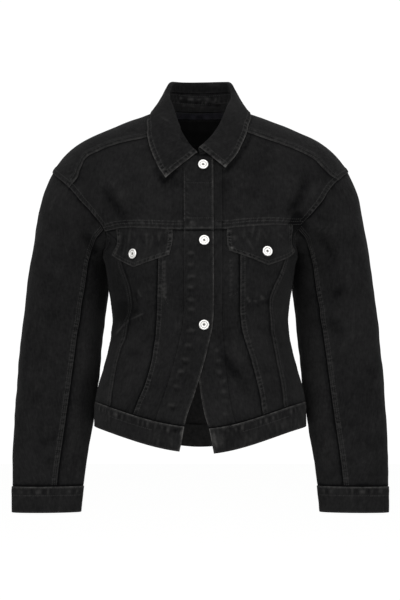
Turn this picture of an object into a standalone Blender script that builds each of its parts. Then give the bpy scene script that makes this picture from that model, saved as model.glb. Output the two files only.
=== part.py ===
"""A cropped denim jacket, filled out as if worn, as closed cloth walls: one object for each sewn piece.

Run with: blender --background --python part.py
The scene is in metres with +Z up. The jacket faces -Y, and its origin lies between the shoulders
at the height of the neck. Lengths below are millimetres and angles are degrees. "Right" and
"left" are the wearer's: the right half lies at negative X.

The body is one surface: flat superellipse rings, whose sizes are the rows of TORSO. A point on it
has an angle round the body (0 at the centre front, 90 at the left side, 180 at the centre back)
and a height. Every seam is a curve in angle and height, and every panel fills the space between
four seams. A sleeve is a second surface, of rings that leave the body at the armhole.
"""

import math

import bmesh
import bpy
import numpy as np

MM = 0.001
NAME = "denim_jacket"
RIGHT = -1.0
LEFT = 1.0
SIDE_NAMES = {RIGHT: "right", LEFT: "left"}

# Cloth.
PANEL_WALL = 1.4
BAND_WALL = 3.0
BAND_PROUD = 1.1
PLACKET_WALL = 2.2
FLAP_WALL = 2.0
COLLAR_WALL = 2.2
LINING_WALL = 1.0
SEAM_GAP = 0.4
FLAP_GAP = 1.1
LINING_GAP = 1.1
BAND_SEAM_GAP = 0.3

# How far the upper front lies out from the body surface at its edge, and the lower front in from it.
UPPER_FRONT_OUT = 1.2
LOWER_FRONT_IN = 2.1
FRONT_BLEND = (9.0, 36.0)
PLACKET_PROUD = 0.4
PLACKET_WIDTH = {-1: 46.5, 1: 44.0}

# Rows of the lower panels crowd towards the chest by this power.
FRONT_CROWD = 1.35

# Body rings: height, half width, front depth, back depth.
TORSO = (
    (-550.0, 168.5, 134.0, 119.0),
    (-500.0, 168.5, 130.0, 115.5),
    (-470.0, 168.0, 126.5, 112.0),
    (-435.0, 162.0, 120.0, 106.0),
    (-412.0, 155.0, 116.0, 101.0),
    (-380.0, 146.6, 110.0, 93.5),
    (-350.0, 140.8, 107.0, 88.0),
    (-332.0, 139.5, 107.5, 91.0),
    (-300.0, 142.6, 117.0, 101.0),
    (-284.0, 145.0, 123.0, 108.0),
    (-243.0, 150.5, 130.0, 115.0),
    (-214.0, 152.5, 125.0, 113.5),
    (-200.0, 160.5, 121.0, 112.0),
    (-184.0, 180.0, 117.0, 110.5),
    (-161.0, 215.0, 110.0, 107.0),
    (-138.0, 236.0, 105.5, 104.0),
    (-125.0, 238.0, 103.0, 102.0),
    (-98.0, 236.5, 97.0, 98.0),
    (-80.0, 225.5, 90.0, 95.0),
    (-64.0, 211.5, 83.0, 91.0),
    (-41.0, 178.0, 71.0, 84.0),
    (-27.0, 146.0, 62.0, 75.0),
    (-14.0, 114.0, 52.5, 70.0),
    (-1.0, 77.5, 43.0, 64.0),
    (6.0, 59.0, 36.0, 60.0),
    (12.0, 42.0, 30.0, 54.0),
)
# Ring corners, as superellipse exponents: height, right front, left front, back.
CORNERS = (
    (-550.0, 2.25, 2.25, 2.3),
    (-340.0, 2.25, 2.35, 2.3),
    (-240.0, 2.4, 3.0, 2.5),
    (-150.0, 2.5, 2.8, 2.5),
    (-100.0, 2.4, 2.5, 2.4),
    (12.0, 2.4, 2.4, 2.3),
)
# Neck seam: angle from the wearer's own centre front, height.
NECKLINE = (
    (-12.0, -73.0),
    (0.0, -72.0),
    (8.0, -57.0),
    (16.0, -33.0),
    (25.0, -16.0),
    (35.0, -6.0),
    (50.0, 1.0),
    (70.0, 4.6),
    (90.0, 6.5),
    (130.0, 6.5),
    (180.0, 4.6),
)
# Armhole: an egg in angle and height, and the point where each seam meets it, in degrees from its
# top towards the front. The sleeve's rings use the same angle.
ARMHOLE_HEIGHT = -156.0
ARMHOLE_HALF_HEIGHT = 60.0
ARMHOLE_HALF_ANGLE = {"front": 42.0, "back": 40.0}
ARMHOLE_CORNERS = {RIGHT: 2.0, LEFT: 2.3}
SHOULDER_SEAM_AT = {RIGHT: 56.0, LEFT: 44.0}
CHEST_SEAM_AT = {RIGHT: 126.0, LEFT: 114.5}
BACK_YOKE_AT = -84.0
BACK_YOKE_HEIGHT = -150.0
CHEST_SEAM_HEIGHT = -188.6
# Chest seam, seen from the front: distance from the centre, height.
CHEST_SEAM = {
    RIGHT: ((10.0, -189.6), (40.0, -189.4), (78.0, -187.4), (109.0, -186.4), (125.0, -187.0), (138.0, -189.6)),
    LEFT: ((10.0, -189.2), (41.5, -187.7), (72.5, -184.4), (100.0, -182.8), (119.0, -182.2), (137.0, -182.6)),
}

# Front edges, seen from the front: height, x. The right front lies on top.
FRONT_EDGE = {
    RIGHT: (
        (-560.0, -40.0),
        (-533.0, -31.5),
        (-500.0, -25.3),
        (-486.0, -22.8),
        (-451.0, -10.9),
        (-405.0, 3.4),
        (-382.0, 9.6),
        (-358.0, 15.1),
        (-341.0, 18.8),
        (-299.0, 21.3),
        (-190.0, 20.5),
        (-60.0, 20.0),
    ),
    LEFT: (
        (-560.0, 26.0),
        (-539.0, 21.3),
        (-498.0, 13.2),
        (-477.0, 6.8),
        (-446.0, 0.9),
        (-392.0, -5.0),
        (-330.0, -9.6),
        (-60.0, -9.6),
    ),
}
# Seams seen from the front: height, distance from the centre.
INNER_SEAM = {
    RIGHT: (
        (-505.0, 114.0),
        (-467.0, 101.5),
        (-427.0, 85.0),
        (-382.0, 74.0),
        (-338.0, 69.0),
        (-280.0, 66.5),
        (-185.0, 64.0),
    ),
    LEFT: (
        (-505.0, 101.0),
        (-473.0, 97.0),
        (-445.0, 93.0),
        (-418.0, 86.5),
        (-387.0, 78.0),
        (-360.0, 69.5),
        (-338.0, 64.5),
        (-310.0, 62.0),
        (-185.0, 62.0),
    ),
}
OUTER_SEAM = {
    RIGHT: (
        (-505.0, 145.0),
        (-468.0, 141.0),
        (-434.0, 137.5),
        (-400.0, 131.5),
        (-377.0, 125.0),
        (-346.0, 115.0),
        (-307.0, 107.0),
        (-278.0, 111.0),
        (-246.0, 122.0),
        (-222.0, 128.0),
        (-205.0, 133.0),
    ),
    LEFT: (
        (-505.0, 134.0),
        (-468.0, 131.0),
        (-428.0, 127.0),
        (-406.0, 122.5),
        (-383.0, 118.0),
        (-361.0, 114.0),
        (-325.0, 109.0),
        (-300.0, 108.5),
        (-277.0, 115.8),
        (-258.0, 125.0),
        (-243.0, 130.0),
        (-222.0, 135.5),
        (-205.0, 140.0),
    ),
}
SHOULDER_SEAM = {
    RIGHT: ((84.0, -42.5), (120.6, -50.0), (146.6, -57.8), (164.9, -65.5), (177.9, -72.5),
            (183.4, -79.0), (187.0, -88.0), (191.0, -99.5), (197.5, -111.0)),
    LEFT: ((77.8, -35.6), (117.0, -49.9), (143.1, -59.2), (164.0, -68.2), (182.3, -79.2),
           (192.6, -90.5), (204.0, -101.5)),
}
SHOULDER_SEAM_NECK = 20.0
# Back seam: height, distance from the centre.
BACK_SEAM = ((-505.0, 62.0), (-400.0, 58.0), (-340.0, 60.0), (-240.0, 76.0), (-145.0, 92.0))

# Hem and waistband.
HEM_AT_SIDE = -501.0
HEM_DROP = {"right": 35.0, "left": 37.0, "back": 40.0}
HEM_DROP_POWER = {"right": 3.2, "left": 3.8, "back": 3.2}
BAND_HEIGHT = 39.5

# Pockets and flaps, seen from the front as (distance from the centre, height).
FLAP = {
    RIGHT: {"top": ((-43.0, -192.4), (-132.5, -190.0)), "tip": (-103.0, -247.8),
            "low": ((-48.0, -229.5), (-137.5, -228.5))},
    LEFT: {"top": ((41.6, -190.5), (144.8, -187.5)), "tip": (104.8, -244.7),
           "low": ((44.5, -222.2), (147.5, -223.4))},
}
BAG = {RIGHT: (-50.0, -199.0, -299.0), LEFT: (47.0, -199.0, -300.0)}
BAG_FROM_SIDE = 0.05

# Sleeve rings: distance along the sleeve, outer point x, z and y, inner point x, z and y, half depth.
SLEEVE = (
    (0.0, 236.5, -97.0, 0.0, 149.0, -215.0, 0.0, 77.0),
    (32.0, 249.5, -126.0, 2.0, 154.0, -226.0, 16.0, 75.0),
    (66.0, 258.0, -158.0, 6.0, 148.5, -240.0, 42.0, 70.0),
    (108.0, 265.5, -202.0, 8.0, 147.5, -259.0, 45.0, 67.0),
    (150.0, 273.3, -247.0, 10.0, 148.4, -284.0, 45.0, 63.0),
    (205.0, 281.0, -305.0, 14.0, 153.0, -323.0, 40.0, 59.0),
    (265.0, 288.2, -363.0, 20.0, 157.7, -372.0, 34.0, 54.0),
    (330.0, 294.4, -428.0, 22.0, 163.7, -430.0, 29.0, 48.0),
    (400.0, 299.1, -498.0, 16.0, 172.6, -498.0, 21.0, 40.0),
    (470.0, 301.3, -568.0, 7.0, 183.5, -567.0, 9.0, 30.0),
    (500.0, 301.1, -598.0, 3.0, 187.3, -597.0, 4.0, 24.0),
    (542.0, 300.6, -639.0, -1.0, 191.3, -638.0, -1.0, 21.0),
)
SLEEVE_BLEND = 95.0
SLEEVE_CORNERS = 2.15
CUFF_FROM = 499.0
CUFF_TO = 541.5
ARMHOLE_GAP = {"over": 0.9, "under": 2.4}
FRONT_SLEEVE_SEAM = (121.0, 106.0)
BACK_SLEEVE_SEAM = -110.0

# Collar, from the centre front round to the back: angle of the neck seam, roll line x, y and z,
# angle and height of the leaf's edge. The x is towards the wearer's own side.
COLLAR_FRONT = {
    RIGHT: (
        (1.4, 5.5, -90.0, -61.0, 12.95, -109.0),
        (8.0, 16.0, -81.0, -53.0, 16.6, -88.0),
        (16.0, 28.0, -64.0, -30.0, 20.3, -68.0),
        (25.0, 34.0, -52.0, -14.0, 24.5, -49.0),
        (35.0, 39.0, -39.0, 0.0, 30.5, -31.0),
        (50.0, 44.0, -26.0, 11.0, 41.0, -16.5),
    ),
    LEFT: (
        (-0.3, -1.5, -90.0, -58.5, 9.6, -94.0),
        (8.0, 16.0, -81.0, -52.0, 14.5, -75.0),
        (16.0, 28.0, -65.0, -30.0, 19.0, -55.0),
        (25.0, 34.0, -53.0, -14.0, 24.5, -38.0),
        (35.0, 39.0, -40.0, 0.0, 32.0, -24.0),
        (50.0, 44.0, -26.0, 11.0, 42.6, -13.0),
    ),
}
COLLAR_BACK = (
    (70.0, 48.4, -12.0, 22.0, 52.0, -7.2),
    (90.0, 49.6, 4.0, 33.6, 76.0, 0.0),
    (107.0, 48.2, 20.0, 45.6, 102.0, 0.5),
    (127.0, 42.4, 38.0, 52.2, 128.0, -3.0),
    (152.0, 24.0, 50.0, 52.7, 153.0, -8.0),
    (180.0, 0.0, 53.0, 52.7, 180.0, -10.0),
    (208.0, -24.0, 50.0, 52.7, 207.0, -8.0),
)
COLLAR_FOLD_RADIUS = 3.5
COLLAR_OFF_BODY = (3.1, 4.8)
COLLAR_OVER_PLACKET = (8.0, 16.0)
STAND_SHARE = (0.30, 0.60)
STAND_OFF_NECK = 1.1
STAND_OFF_LEAF = 1.9
LEAF_STEPS = {"rise": 1, "fold": 5, "fall": 5}

# Label and tape inside the back neck: half width, top and bottom below the neck seam.
LABEL = (36.0, 10.5, 52.0)
TAPE = (42.0, 0.4, 9.6)

# Folds pressed into the cloth, seen from the front: two ends (x, z), half width, height.
BODY_FOLDS = (
    ((-80.0, -314.0), (-113.0, -327.0), 7.0, 2.2),
    ((-108.0, -324.0), (-139.0, -358.0), 8.0, 2.8),
    ((-84.0, -348.0), (-126.0, -366.0), 10.0, -2.0),
    ((92.0, -322.0), (134.0, -342.0), 9.0, 1.8),
)
# Folds in a sleeve: two ends (degrees round, millimetres along), half width, height.
SLEEVE_FOLDS = (
    ((150.0, 60.0), (60.0, 125.0), 12.0, 3.0),
    ((165.0, 190.0), (70.0, 245.0), 12.0, 2.5),
    ((-150.0, 225.0), (-70.0, 280.0), 12.0, 2.5),
)
SLEEVE_MM_PER_DEGREE = 1.1

# Tack buttons: profile as (radius, height over the cloth), and their places as (x, z).
BUTTON_PROFILE = (
    (0.0, 0.0),
    (4.2, 0.0),
    (4.2, 1.3),
    (8.0, 1.5),
    (8.6, 2.6),
    (7.0, 4.1),
    (5.4, 3.5),
    (2.4, 3.3),
    (0.0, 2.6),
)
BUTTON_STEPS = 16
BUTTON_LIFT = 0.3
FRONT_BUTTONS = ((4.5, -88.9), (6.1, -207.4), (5.7, -337.5))
FLAP_BUTTONS = {RIGHT: (-102.0, -227.8), LEFT: (102.3, -224.4)}

COLOURS = {
    "denim": ((0.013, 0.013, 0.014, 1.0), 0.9, 0.0),
    "pocket_cloth": ((0.010, 0.010, 0.011, 1.0), 0.9, 0.0),
    "label": ((0.004, 0.004, 0.004, 1.0), 0.6, 0.0),
    "tape": ((0.010, 0.011, 0.017, 1.0), 0.7, 0.0),
    "metal": ((0.75, 0.74, 0.71, 1.0), 0.3, 1.0),
}


def smooth(table, column, at):
    """A column of a table at values of its first column, which increases, on a monotone cubic."""
    grid = np.array([row[0] for row in table], float)
    values = np.array([row[column] for row in table], float)
    step = np.diff(grid)
    slope = np.diff(values) / step
    tangents = np.zeros(len(grid))
    tangents[0] = slope[0]
    tangents[-1] = slope[-1]
    same_way = slope[:-1] * slope[1:] > 0
    inner = 2.0 * slope[:-1] * slope[1:]
    tangents[1:-1][same_way] = inner[same_way] / (slope[:-1] + slope[1:])[same_way]
    at = np.clip(np.asarray(at, float), grid[0], grid[-1])
    cell = np.clip(np.searchsorted(grid, at) - 1, 0, len(step) - 1)
    s = (at - grid[cell]) / step[cell]
    rise = (3.0 - 2.0 * s) * s * s
    start = s * (1.0 - s) ** 2 * step[cell] * tangents[cell]
    end = s * s * (s - 1.0) * step[cell] * tangents[cell + 1]
    return values[cell] * (1.0 - rise) + values[cell + 1] * rise + start + end


def ease(value, low, high):
    """0 below low, 1 above high, and a smooth step between them."""
    s = np.clip((value - low) / (high - low), 0.0, 1.0)
    return s * s * (3.0 - 2.0 * s)


def superellipse(angle, corners):
    """The two shares (sideways, forwards) of a unit superellipse at an angle."""
    sideways = np.sin(np.radians(angle))
    forwards = np.cos(np.radians(angle))
    reach = (np.abs(sideways) ** corners + np.abs(forwards) ** corners) ** (-1.0 / corners)
    return sideways * reach, forwards * reach


def unit(vectors):
    return vectors / np.linalg.norm(vectors, axis=-1, keepdims=True)


def ridges(folds, across, along):
    """Height of the pressed folds at points, each fold a soft ridge along a straight line."""
    height = np.zeros(np.broadcast(across, along).shape)
    for first, last, width, rise in folds:
        run = np.subtract(last, first)
        share = ((across - first[0]) * run[0] + (along - first[1]) * run[1]) / (run @ run)
        near = np.clip(share, 0.0, 1.0)
        off_x = across - first[0] - near * run[0]
        off_y = along - first[1] - near * run[1]
        taper = ease(share, -0.1, 0.35) * (1.0 - ease(share, 0.65, 1.1))
        height = height + rise * taper * np.exp(-(off_x**2 + off_y**2) / width**2)
    return height


# The body surface.


def ring_sizes(angle, height):
    """Half width, depth and corner exponent of the quarter ring that holds each angle."""
    side = np.where(np.sin(np.radians(angle)) < 0.0, RIGHT, LEFT)
    in_front = np.cos(np.radians(angle)) > 0.0
    half_width = smooth(TORSO, 1, height)
    depth = np.where(in_front, smooth(TORSO, 2, height), smooth(TORSO, 3, height))
    front = np.where(side < 0.0, smooth(CORNERS, 1, height), smooth(CORNERS, 2, height))
    return half_width, depth, np.where(in_front, front, smooth(CORNERS, 3, height))


def ring_point(angle, height):
    """A point of the plain body surface."""
    half_width, depth, corners = ring_sizes(angle, height)
    sideways, forwards = superellipse(angle, corners)
    height = np.broadcast_to(height, sideways.shape)
    return np.stack([half_width * sideways, -depth * forwards, height], axis=-1)


def ring_normal(angle, height):
    """The body surface's outward normal."""
    turn, rise = 0.2, 0.5
    round_body = ring_point(angle + turn, height) - ring_point(angle - turn, height)
    up_body = ring_point(angle, height + rise) - ring_point(angle, height - rise)
    return unit(np.cross(round_body, up_body))


def body(angle, height, out=0.0):
    """A point a given distance out from the body surface, folds included."""
    angle, height = np.broadcast_arrays(np.asarray(angle, float), np.asarray(height, float))
    point = ring_point(angle, height)
    front_folds = ridges(BODY_FOLDS, point[..., 0], point[..., 2])
    raised = np.where(point[..., 1] < 0.0, front_folds, 0.0) + out
    return point + ring_normal(angle, height) * raised[..., None]


def angle_at(x, height):
    """The body angle of the front point with this x, at this height."""
    side = np.where(np.asarray(x) < 0.0, -90.0, 90.0)
    half_width, _, corners = ring_sizes(side * 0.5, height)
    share = np.minimum(np.abs(x) / half_width, 0.9995)
    ratio = share / (1.0 - share**corners) ** (1.0 / corners)
    return np.sign(side) * np.degrees(np.arctan(ratio))


def front_lift(side, angle):
    """How far a front lies out from the body surface: the fronts lap over one another."""
    toward_edge = 1.0 - ease(side * angle, *FRONT_BLEND)
    return toward_edge * (UPPER_FRONT_OUT if side == RIGHT else -LOWER_FRONT_IN)


def clear_of_body(points, clearance, weight):
    """Points pushed straight out where they lie nearer the body surface than clearance(angle)."""
    in_front = points[..., 1] < 0.0
    depth = np.where(in_front, smooth(TORSO, 2, points[..., 2]), smooth(TORSO, 3, points[..., 2]))
    half_width = smooth(TORSO, 1, points[..., 2])
    angle = np.degrees(np.arctan2(points[..., 0] / half_width, -points[..., 1] / depth))
    normal = ring_normal(angle, points[..., 2])
    distance = np.sum((points - ring_point(angle, points[..., 2])) * normal, axis=-1)
    push = weight * np.clip(clearance(angle) - distance, 0.0, None)
    return points + normal * push[..., None]


# Seams, as functions from a share of their length to (angle, height).


def neck_height(angle):
    """Height of the neck seam at body angles, which may run past the back."""
    return smooth(NECKLINE, 1, 180.0 - np.abs(180.0 - np.abs(angle)))


def own_neck_height(side, angle):
    """Height of one front's neck seam, which stays level past the centre."""
    return smooth(NECKLINE, 1, side * angle)


def armhole(side, degrees):
    """Angle and height on an armhole, at degrees from its top towards the front."""
    forwards, upwards = superellipse(degrees, ARMHOLE_CORNERS[side])
    in_front = np.asarray(forwards) > 0.0
    half_angle = np.where(in_front, ARMHOLE_HALF_ANGLE["front"], ARMHOLE_HALF_ANGLE["back"])
    return side * (90.0 - half_angle * forwards), ARMHOLE_HEIGHT + ARMHOLE_HALF_HEIGHT * upwards


def hem_height(angle):
    """Height of the hem, which drops towards the centre front and the centre back."""
    angle = np.asarray(angle, float)
    forwards = np.cos(np.radians(angle))
    drop, power = (
        np.where(forwards > 0.0, np.where(angle < 0.0, ends["right"], ends["left"]), ends["back"])
        for ends in (HEM_DROP, HEM_DROP_POWER)
    )
    return HEM_AT_SIDE - drop * np.abs(forwards) ** power


def own_hem_height(side, angle):
    """Height of one front's hem, level past the centre."""
    return hem_height(side * np.maximum(side * np.asarray(angle, float), 0.5))


def band_top(side, angle):
    return own_hem_height(side, angle) + BAND_HEIGHT


def chest_height(side, angle):
    """Height of the seam under the front yoke."""
    end_angle, end_height = armhole(side, CHEST_SEAM_AT[side])
    rows = tuple((side * float(angle_at(side * x, z)), z) for x, z in CHEST_SEAM[side])
    return smooth((*rows, (side * float(end_angle), float(end_height))), 1, side * np.asarray(angle, float))


def pair(angle, height):
    angle, height = np.broadcast_arrays(np.asarray(angle, float), np.asarray(height, float))
    return np.stack([angle, height], axis=-1)


def edge_angle(side, height, inset=0.0):
    """Body angle of a front edge, or of a line a given width in from it."""
    return angle_at(smooth(FRONT_EDGE[side], 1, height) + side * inset, height)


def seam_angle(table, side, height):
    return angle_at(side * smooth(table, 1, height), height)


def seam_foot(line_angle, side):
    """Height where a seam, given as a function from height to angle, meets the waistband."""
    height = -480.0
    for _ in range(8):
        height = float(band_top(side, line_angle(height)))
    return height


def down_line(line_angle, top, foot):
    """A seam from its foot to its top, given as a function from height to angle."""

    def line(share):
        height = foot + (top - foot) * share
        return pair(line_angle(height), height)

    return line


def chain(points, shares):
    """A smooth seam through (angle, height) points at given shares of its length."""
    rows = [(share, *point) for share, point in zip(shares, points)]
    return lambda share: pair(smooth(rows, 1, share), smooth(rows, 2, share))


def along_armhole(side, first, last):
    return lambda share: pair(*armhole(side, first + (last - first) * share))


def fill(bottom, top, start, end):
    """A Coons patch: the (angle, height) at shares across and up, between four seams."""

    def patch(across, up):
        a = across[..., None]
        b = up[..., None]
        sides = start(up) * (1.0 - a) + end(up) * a
        ends = bottom(across) * (1.0 - b) + top(across) * b
        zero = np.zeros(1)
        one = np.ones(1)
        low = bottom(zero) * (1.0 - a) + bottom(one) * a
        high = top(zero) * (1.0 - a) + top(one) * a
        return sides + ends - low * (1.0 - b) - high * b

    return patch


# Meshes.


def material(name):
    """A plain Principled material of a named finish."""
    found = bpy.data.materials.get(name)
    if found:
        return found
    colour, roughness, metallic = COLOURS[name]
    made = bpy.data.materials.new(name)
    made.use_nodes = True
    shader = made.node_tree.nodes["Principled BSDF"]
    shader.inputs["Base Color"].default_value = colour
    shader.inputs["Roughness"].default_value = roughness
    shader.inputs["Metallic"].default_value = metallic
    made.diffuse_color = colour
    return made


def add_object(name, mesh, finish):
    mesh.materials.append(material(finish))
    made = bpy.data.objects.new(name, mesh)
    bpy.data.collections[NAME].objects.link(made)
    return made


def wall(name, columns, rows, thickness, place, finish="denim"):
    """A closed cloth wall: a grid extruded once, then set by place(across, up, depth)."""
    bm = bmesh.new()
    bmesh.ops.create_grid(bm, x_segments=columns, y_segments=rows, size=0.5)
    depths = {vertex: 0.0 for vertex in bm.verts}
    grown = bmesh.ops.extrude_face_region(bm, geom=bm.faces[:], use_keep_orig=True)
    for item in grown["geom"]:
        if isinstance(item, bmesh.types.BMVert):
            depths[item] = thickness
    spots = np.array([(v.co.x + 0.5, v.co.y + 0.5, depths[v]) for v in bm.verts])
    points = place(spots[:, 0], spots[:, 1], spots[:, 2])
    for vertex, point in zip(bm.verts, points):
        vertex.co = point * MM
    bmesh.ops.recalc_face_normals(bm, faces=bm.faces[:])
    if bm.calc_volume(signed=True) < 0.0:
        bmesh.ops.reverse_faces(bm, faces=bm.faces[:])
    mesh = bpy.data.meshes.new(name)
    bm.to_mesh(mesh)
    bm.free()
    return add_object(name, mesh, finish)


def inset_share(share, length, gap=SEAM_GAP):
    """A share from 0 to 1, drawn in by half a seam gap at both ends."""
    margin = 0.5 * gap / length
    return margin + (1.0 - 2.0 * margin) * share


def panel(name, columns, rows, patch, width, height, out=None, thickness=PANEL_WALL, finish="denim",
          crowd=1.0):
    """A wall over a patch of the body, its outer face at out(angle) from the body surface.

    A crowd over 1 draws the rows together towards the top, where the body bends more."""

    def place(across, up, depth):
        up = 1.0 - (1.0 - up) ** crowd
        spot = patch(inset_share(across, width), inset_share(up, height))
        lift = out(spot[..., 0]) if out else 0.0
        return body(spot[..., 0], spot[..., 1], lift - depth)

    return wall(name, columns, rows, thickness, place, finish)


# Body pieces.


def placket_line(side):
    return lambda height: edge_angle(side, height, PLACKET_WIDTH[side])


def chest_crossing(line_angle, side):
    """Height where a seam meets the chest seam."""
    height = CHEST_SEAM_HEIGHT
    for _ in range(8):
        height = float(chest_height(side, line_angle(height)))
    return height


def neck_crossing(line_angle, side):
    height = -62.0
    for _ in range(30):
        height = 0.5 * (height + float(own_neck_height(side, line_angle(height))))
    return height


def shoulder_seam(side):
    """The seam between front yoke and back yoke, from the neck to the armhole."""
    neck = (side * SHOULDER_SEAM_NECK, float(own_neck_height(side, side * SHOULDER_SEAM_NECK)))
    middle = [(float(angle_at(side * x, z)), z) for x, z in SHOULDER_SEAM[side]]
    end = armhole(side, SHOULDER_SEAM_AT[side])
    points = [neck, *middle, (float(end[0]), float(end[1]))]
    places = np.array([ring_point(np.float64(a), np.float64(z)) for a, z in points])
    lengths = np.concatenate([[0.0], np.cumsum(np.linalg.norm(np.diff(places, axis=0), axis=1))])
    return chain(points, lengths / lengths[-1])


def front_yoke(side):
    """The panel over the chest, from the neck and the shoulder seam down to the chest seam."""
    inner = placket_line(side)
    foot = chest_crossing(inner, side)
    top = neck_crossing(inner, side)
    start = down_line(inner, top, foot)
    end = along_armhole(side, CHEST_SEAM_AT[side], SHOULDER_SEAM_AT[side])
    seam = shoulder_seam(side)
    neck_share = 4.0 / 12.0
    start_angle = float(inner(top))
    corner_angle = side * SHOULDER_SEAM_NECK
    chest_end = float(armhole(side, CHEST_SEAM_AT[side])[0])

    def upper(share):
        neck = np.clip(share / neck_share, 0.0, 1.0)
        angle = start_angle + (corner_angle - start_angle) * neck
        past = np.clip((share - neck_share) / (1.0 - neck_share), 0.0, 1.0)
        on_neck = pair(angle, own_neck_height(side, angle))
        return np.where((share <= neck_share)[..., None], on_neck, seam(past))

    def lower(share):
        angle = inner(foot) + (chest_end - inner(foot)) * share
        return pair(angle, chest_height(side, angle))

    patch = fill(lower, upper, start, end)
    name = SIDE_NAMES[side] + "_front_yoke"
    panel(name, 12, 8, patch, 140.0, 90.0, lambda angle: front_lift(side, angle))


def front_strip(side, name, inner, outer, columns, width):
    """A lower front panel between two seams, from the chest seam to the waistband."""
    tops = [chest_crossing(line, side) for line in (inner, outer)]
    feet = [seam_foot(line, side) for line in (inner, outer)]
    top_angles = [float(line(top)) for line, top in zip((inner, outer), tops)]
    foot_angles = [float(line(foot)) for line, foot in zip((inner, outer), feet)]

    def upper(share):
        angle = top_angles[0] + (top_angles[1] - top_angles[0]) * share
        return pair(angle, chest_height(side, angle))

    def lower(share):
        angle = foot_angles[0] + (foot_angles[1] - foot_angles[0]) * share
        return pair(angle, band_top(side, angle) + BAND_SEAM_GAP)

    start = down_line(inner, tops[0], feet[0])
    end = down_line(outer, tops[1], feet[1])
    patch = fill(lower, upper, start, end)
    full_name = f"{SIDE_NAMES[side]}_front_{name}"
    panel(full_name, columns, 18, patch, width, 295.0, lambda angle: front_lift(side, angle),
          crowd=FRONT_CROWD)


def outer_seam_line(side):
    """Angle of the outer front seam, drawn to the armhole at its top."""
    end_angle, end_height = armhole(side, CHEST_SEAM_AT[side])
    table = OUTER_SEAM[side]

    def line(height):
        plain = seam_angle(table, side, np.minimum(height, table[-1][0]))
        rise = np.clip((height - table[-1][0]) / (end_height - table[-1][0]), 0.0, 1.0)
        return plain + (end_angle - plain) * rise

    return line


def front_panels(side):
    inner = lambda height: seam_angle(INNER_SEAM[side], side, height)
    outer = outer_seam_line(side)
    front_strip(side, "centre", placket_line(side), inner, 3, 38.0)
    front_strip(side, "middle", inner, outer, 8, 60.0)
    front_side(side, outer)


def front_side(side, outer):
    """The panel under the arm, from the outer seam to the side seam."""
    end_height = float(armhole(side, CHEST_SEAM_AT[side])[1])
    under_arm = float(armhole(side, 180.0)[1])
    foot = seam_foot(outer, side)
    foot_angle = float(outer(foot))
    side_foot = float(band_top(side, side * 90.0))

    def lower(share):
        angle = foot_angle + (side * 90.0 - foot_angle) * share
        return pair(angle, band_top(side, angle) + BAND_SEAM_GAP)

    start = down_line(outer, end_height, foot)
    end = down_line(lambda height: side * 90.0 + 0.0 * height, under_arm, side_foot)
    patch = fill(lower, along_armhole(side, CHEST_SEAM_AT[side], 180.0), start, end)
    panel(SIDE_NAMES[side] + "_front_side", 6, 18, patch, 85.0, 265.0, crowd=FRONT_CROWD)


def back_line(side):
    """Angle of a back seam at a height, measured round from the centre front."""

    def line(height):
        x = smooth(BACK_SEAM, 1, height)
        half_width, _, corners = ring_sizes(side * 135.0, height)
        share = x / half_width
        ratio = share / (1.0 - share**corners) ** (1.0 / corners)
        return side * (180.0 - np.degrees(np.arctan(ratio)))

    return line


def back_centre():
    """The tapered panel down the middle of the back."""
    line = back_line(LEFT)
    foot = -500.0
    for _ in range(8):
        foot = float(hem_height(line(foot)) + BAND_HEIGHT)
    top_angle = float(line(BACK_YOKE_HEIGHT))
    foot_angle = float(line(foot))

    def lower(share):
        angle = foot_angle + (360.0 - 2.0 * foot_angle) * share
        return pair(angle, hem_height(angle) + BAND_HEIGHT + BAND_SEAM_GAP)

    def upper(share):
        angle = top_angle + (360.0 - 2.0 * top_angle) * share
        return pair(angle, BACK_YOKE_HEIGHT)

    start = down_line(line, BACK_YOKE_HEIGHT, foot)
    end = down_line(lambda height: 360.0 - line(height), BACK_YOKE_HEIGHT, foot)
    panel("back_centre", 8, 14, fill(lower, upper, start, end), 130.0, 345.0)


def back_side(side):
    """The back panel beside the centre one, from the armhole to the waistband."""
    line = back_line(side)
    foot = -500.0
    for _ in range(8):
        foot = float(hem_height(line(foot)) + BAND_HEIGHT)
    foot_angle = float(line(foot))
    top_angle = float(line(BACK_YOKE_HEIGHT))
    arm_angle, arm_height = armhole(side, BACK_YOKE_AT)
    under_arm = float(armhole(side, 180.0)[1])
    side_foot = float(hem_height(side * 90.0) + BAND_HEIGHT)
    level_share = 3.0 / 9.0

    def lower(share):
        angle = side * 90.0 + (foot_angle - side * 90.0) * share
        return pair(angle, hem_height(angle) + BAND_HEIGHT + BAND_SEAM_GAP)

    def upper(share):
        on_arm = np.clip(share / (1.0 - level_share), 0.0, 1.0)
        past = np.clip((share - 1.0 + level_share) / level_share, 0.0, 1.0)
        curve = pair(*armhole(side, -180.0 + (BACK_YOKE_AT + 180.0) * on_arm))
        level = pair(arm_angle + (top_angle - arm_angle) * past,
                     arm_height + (BACK_YOKE_HEIGHT - arm_height) * past)
        return np.where((share <= 1.0 - level_share)[..., None], curve, level)

    start = down_line(lambda height: side * 90.0 + 0.0 * height, under_arm, side_foot)
    end = down_line(line, BACK_YOKE_HEIGHT, foot)
    panel(SIDE_NAMES[side] + "_back_side", 9, 15, fill(lower, upper, start, end), 110.0, 300.0,
          crowd=FRONT_CROWD)


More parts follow.
